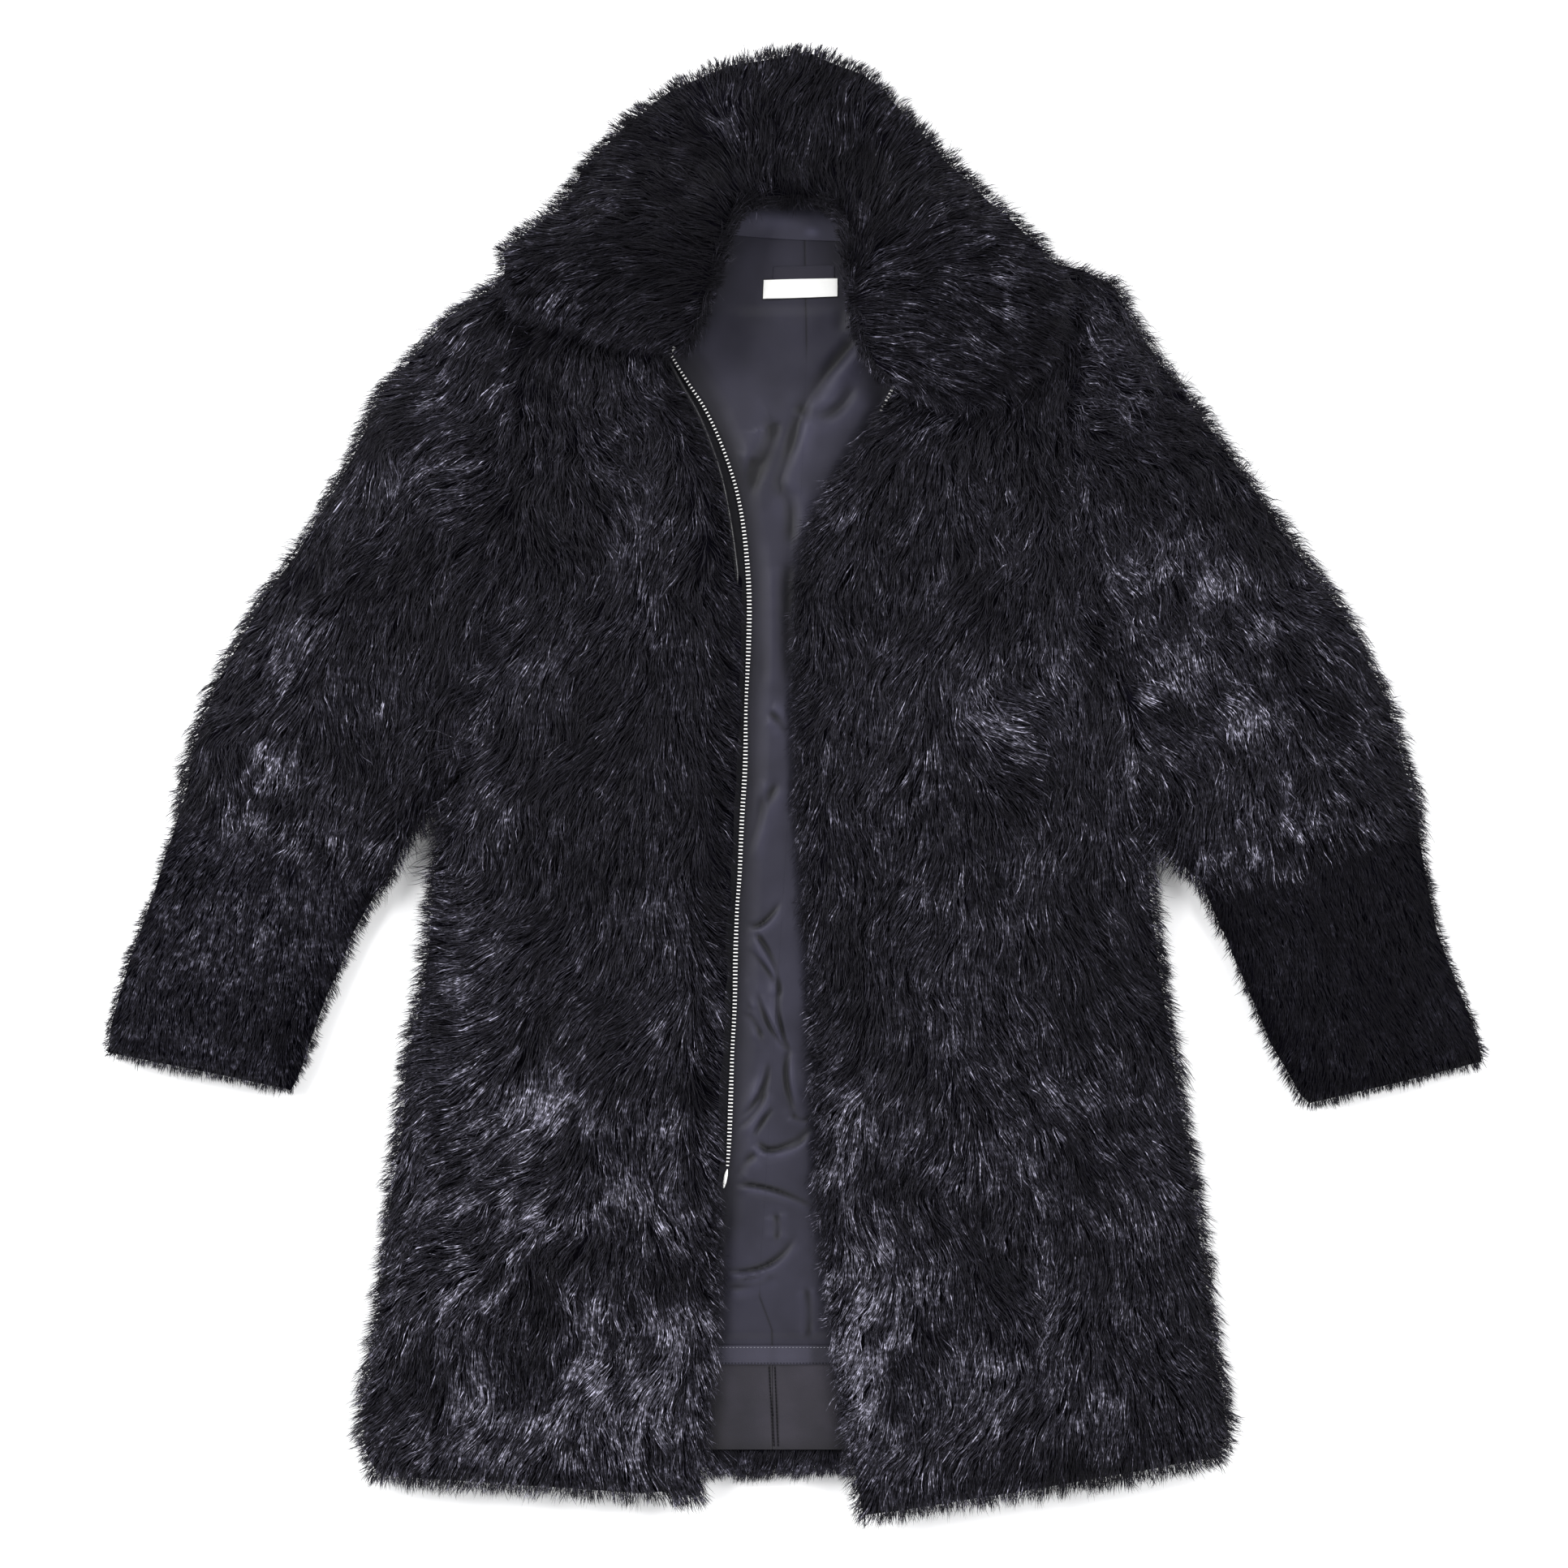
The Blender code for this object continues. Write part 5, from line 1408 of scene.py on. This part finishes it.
def zip_right():
    """The right chain with its bead, tape, stop and pin, and the piping beside it."""
    chain = line_through(RIGHT_CHAIN, TOOTH_PITCH)
    spots, wide = chain[:, :2], chain[:, 2]
    tooth_length = 0.82
    sizes = np.column_stack([np.clip(0.66 * wide, 1.6, 3.4), np.full(len(spots), tooth_length)])
    teeth = blocks("teeth_right", spots, headings_of(spots), sizes, TEETH_FOOT, thick=2.0)
    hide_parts("zip_chain_right")
    line = line_through(RIGHT_CHAIN, 3.0)[:, :2]
    cord = tube("teeth_bead_right", offset_line(line, 1.4), BEAD_MIDDLE, 0.8, TAPE)
    tape = ribbon_along("tape_right", line, TAPE_TOP, near=1.2, far=13.5)
    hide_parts("zip_tape_right")

    line = offset_line(line_through(PIPING, 2.5), 2.4)
    lift = PIPING_MIDDLE + 0.35 * np.sin(np.arange(len(line)) / 5.0)
    piping = tube("piping_roll", line, lift, 1.6, PIPING_LEATHER, flat=0.75, sides=14)
    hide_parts("piping_right")
    pin = tube("pin_right", line_through(PIN, 1.5), PIN_MIDDLE, 1.25, METAL, flat=0.8, sides=12)
    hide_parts("zip_pin_right")
    down_the_chain = np.array([[0.4, -0.9]])
    blocks("stop_right", plan_rows([STOP]), down_the_chain, (2.6, 2.6), 16.6, thick=2.0)
    blocks("stop_foot_right", plan_rows([STOP_FOOT]), down_the_chain, (1.8, 2.2), 16.4, thick=1.4)


def zip_left():
    """Eight teeth of the left chain on a fold of tape. The rest lies under the fur, as the CAD has it."""
    spots = line_through(LEFT_TOP, 2.6)[:8]
    teeth = blocks("teeth_left_top", spots, headings_of(spots), (2.0, 1.2), LEFT_TEETH_FOOT, thick=1.8)
    line = line_through(LEFT_TOP, 2.0)
    fold = ribbon_along("tape_left_top", line, LEFT_TAPE_TOP, near=-2.6, far=0.8)
    # The hidden chain, slider and box take the metal painted dark, as painted shade under the fur.
    for part in ("tape", "chain", "slider", "box"):
        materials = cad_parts[f"zip_{part}_left"].data.materials
        materials.clear()
        materials.append(TAPE if part == "tape" else METAL_PAINTED_SHADE)


def stitches(name, start, end, pitch, length, width, height, material):
    """A straight row of stitches between two pixels."""
    start, end = plan(*start), plan(*end)
    run = end - start
    size = np.hypot(*run)
    count = int(size / pitch)
    spots = start + run * ((np.arange(count) + 0.5) / count)[:, None]
    headings = np.repeat((run / size)[None], count, axis=0)
    blocks(f"stitch_{name}", spots, headings, (width, length), height, 0.35, material, pinch=0.6)


def stitching():
    """A row on each side of the facing's seam, and one along each edge of the ribbon."""
    on_facing = {"pitch": 2.3, "length": 1.9, "width": 0.8, "height": 15.8, "material": THREAD}
    stitches("facing_a", start=(947.5, 1686), end=(953.5, 1785), **on_facing)
    stitches("facing_b", start=(954.5, 1686), end=(958.8, 1785), **on_facing)
    top = {"pitch": 2.4, "length": 1.2, "width": 0.5, "height": 16.95, "material": THREAD_LIGHT}
    stitches("ribbon_top", start=(884, 1662.5), end=(1036, 1662.5), **top)
    low = {"pitch": 2.2, "length": 1.2, "width": 0.4, "height": 16.8, "material": THREAD}
    stitches("ribbon_low", start=(884, 1682), end=(1036, 1682), **low)


# ---------------------------------------------------------------- floor, light and camera


def linked(name, data):
    obj = bpy.data.objects.new(name, data)
    bpy.context.scene.collection.objects.link(obj)
    return obj


def set_stage():
    """A white floor, just under the coat."""
    size, under = 3.0, -0.001
    corners = [(a * size, b * size, under) for a, b in ((-1, -1), (1, -1), (1, 1), (-1, 1))]
    mesh = bpy.data.meshes.new("floor")
    mesh.from_pydata(corners, [], [(0, 1, 2, 3)])
    material, tree, shader, _ = node_material("floor_white")
    values = {"Base Color": (0.93, 0.93, 0.94, 1.0), "Roughness": 0.9, "Specular IOR Level": 0.1}
    feed(tree, shader, (), values)
    mesh.materials.append(material)
    linked("floor", mesh)


def area_light(name, place, aim, size, power):
    light = bpy.data.lights.new(name, "AREA")
    light.shape = "RECTANGLE"
    light.size, light.size_y = size
    light.energy = power
    obj = linked(name, light)
    obj.location = place
    obj.rotation_euler = (Vector(aim) - Vector(place)).to_track_quat("-Z", "Y").to_euler()


def set_light():
    """Four soft boxes round the coat, and a little light from everywhere."""
    scene = bpy.context.scene
    scene.world = bpy.data.worlds.new("studio")
    scene.world.use_nodes = True
    sky = scene.world.node_tree.nodes["Background"]
    sky.inputs["Color"].default_value = (1.0, 1.0, 1.0, 1.0)
    sky.inputs["Strength"].default_value = 0.22
    for name, place, aim, size, power in (
        ("left", (-2.0, 0.8, 1.8), (0.0, 0.0, 0.0), (1.6, 1.8), 105.0),
        ("right", (2.0, 0.3, 1.8), (0.0, 0.0, 0.0), (1.6, 1.8), 66.0),
        ("head", (0.0, 2.2, 1.7), (0.0, 0.1, 0.0), (2.2, 1.0), 46.0),
        ("foot", (0.0, -2.3, 1.8), (0.0, -0.1, 0.0), (2.2, 1.0), 40.0),
    ):
        area_light(f"softbox_{name}", place, aim, size, power)
    scene.view_settings.view_transform = "Standard"


def set_camera():
    """Straight above the middle of the photograph, whose frame it sees at the height of the coat."""
    camera = bpy.data.cameras.new("camera")
    obj = linked("camera", camera)
    height, coat = 4.2, 0.03
    camera.sensor_width = 36.0
    camera.lens = camera.sensor_width * (height - coat) / (FRAME_PIXELS * PIXEL * MM)
    camera.clip_end = 50.0
    obj.location = (*(plan(FRAME_PIXELS / 2, FRAME_PIXELS / 2) * MM), height)
    bpy.context.scene.camera = obj


# ---------------------------------------------------------------- the coat

fur = panel_fur()
for node in FRONTS + SLEEVES + CUFFS:
    fur_panel(node, BODY, inset=2.6, sink=5.0)
fur_panel("collar_top", COLLAR, inset=2.6, sink=5.5)
collar_fringe()
whiskers()
low_fringe()
hem_strip()
for node in UNDER:
    fur_panel(node, BOTTOM)
fur_panel("collar_under", COLLAR, inset=2.5)
lining_pieces()
for side in ("right", "left"):
    hem_facing(side)
hem_ribbon()
neck_band()
label("label_dark", LABEL_DARK, DARK_CORNERS, lift=0.0)
label("label_white", LABEL_WHITE, WHITE_CORNERS, lift=0.35)
zip_right()
zip_left()
stitching()
set_stage()
set_light()
set_camera()
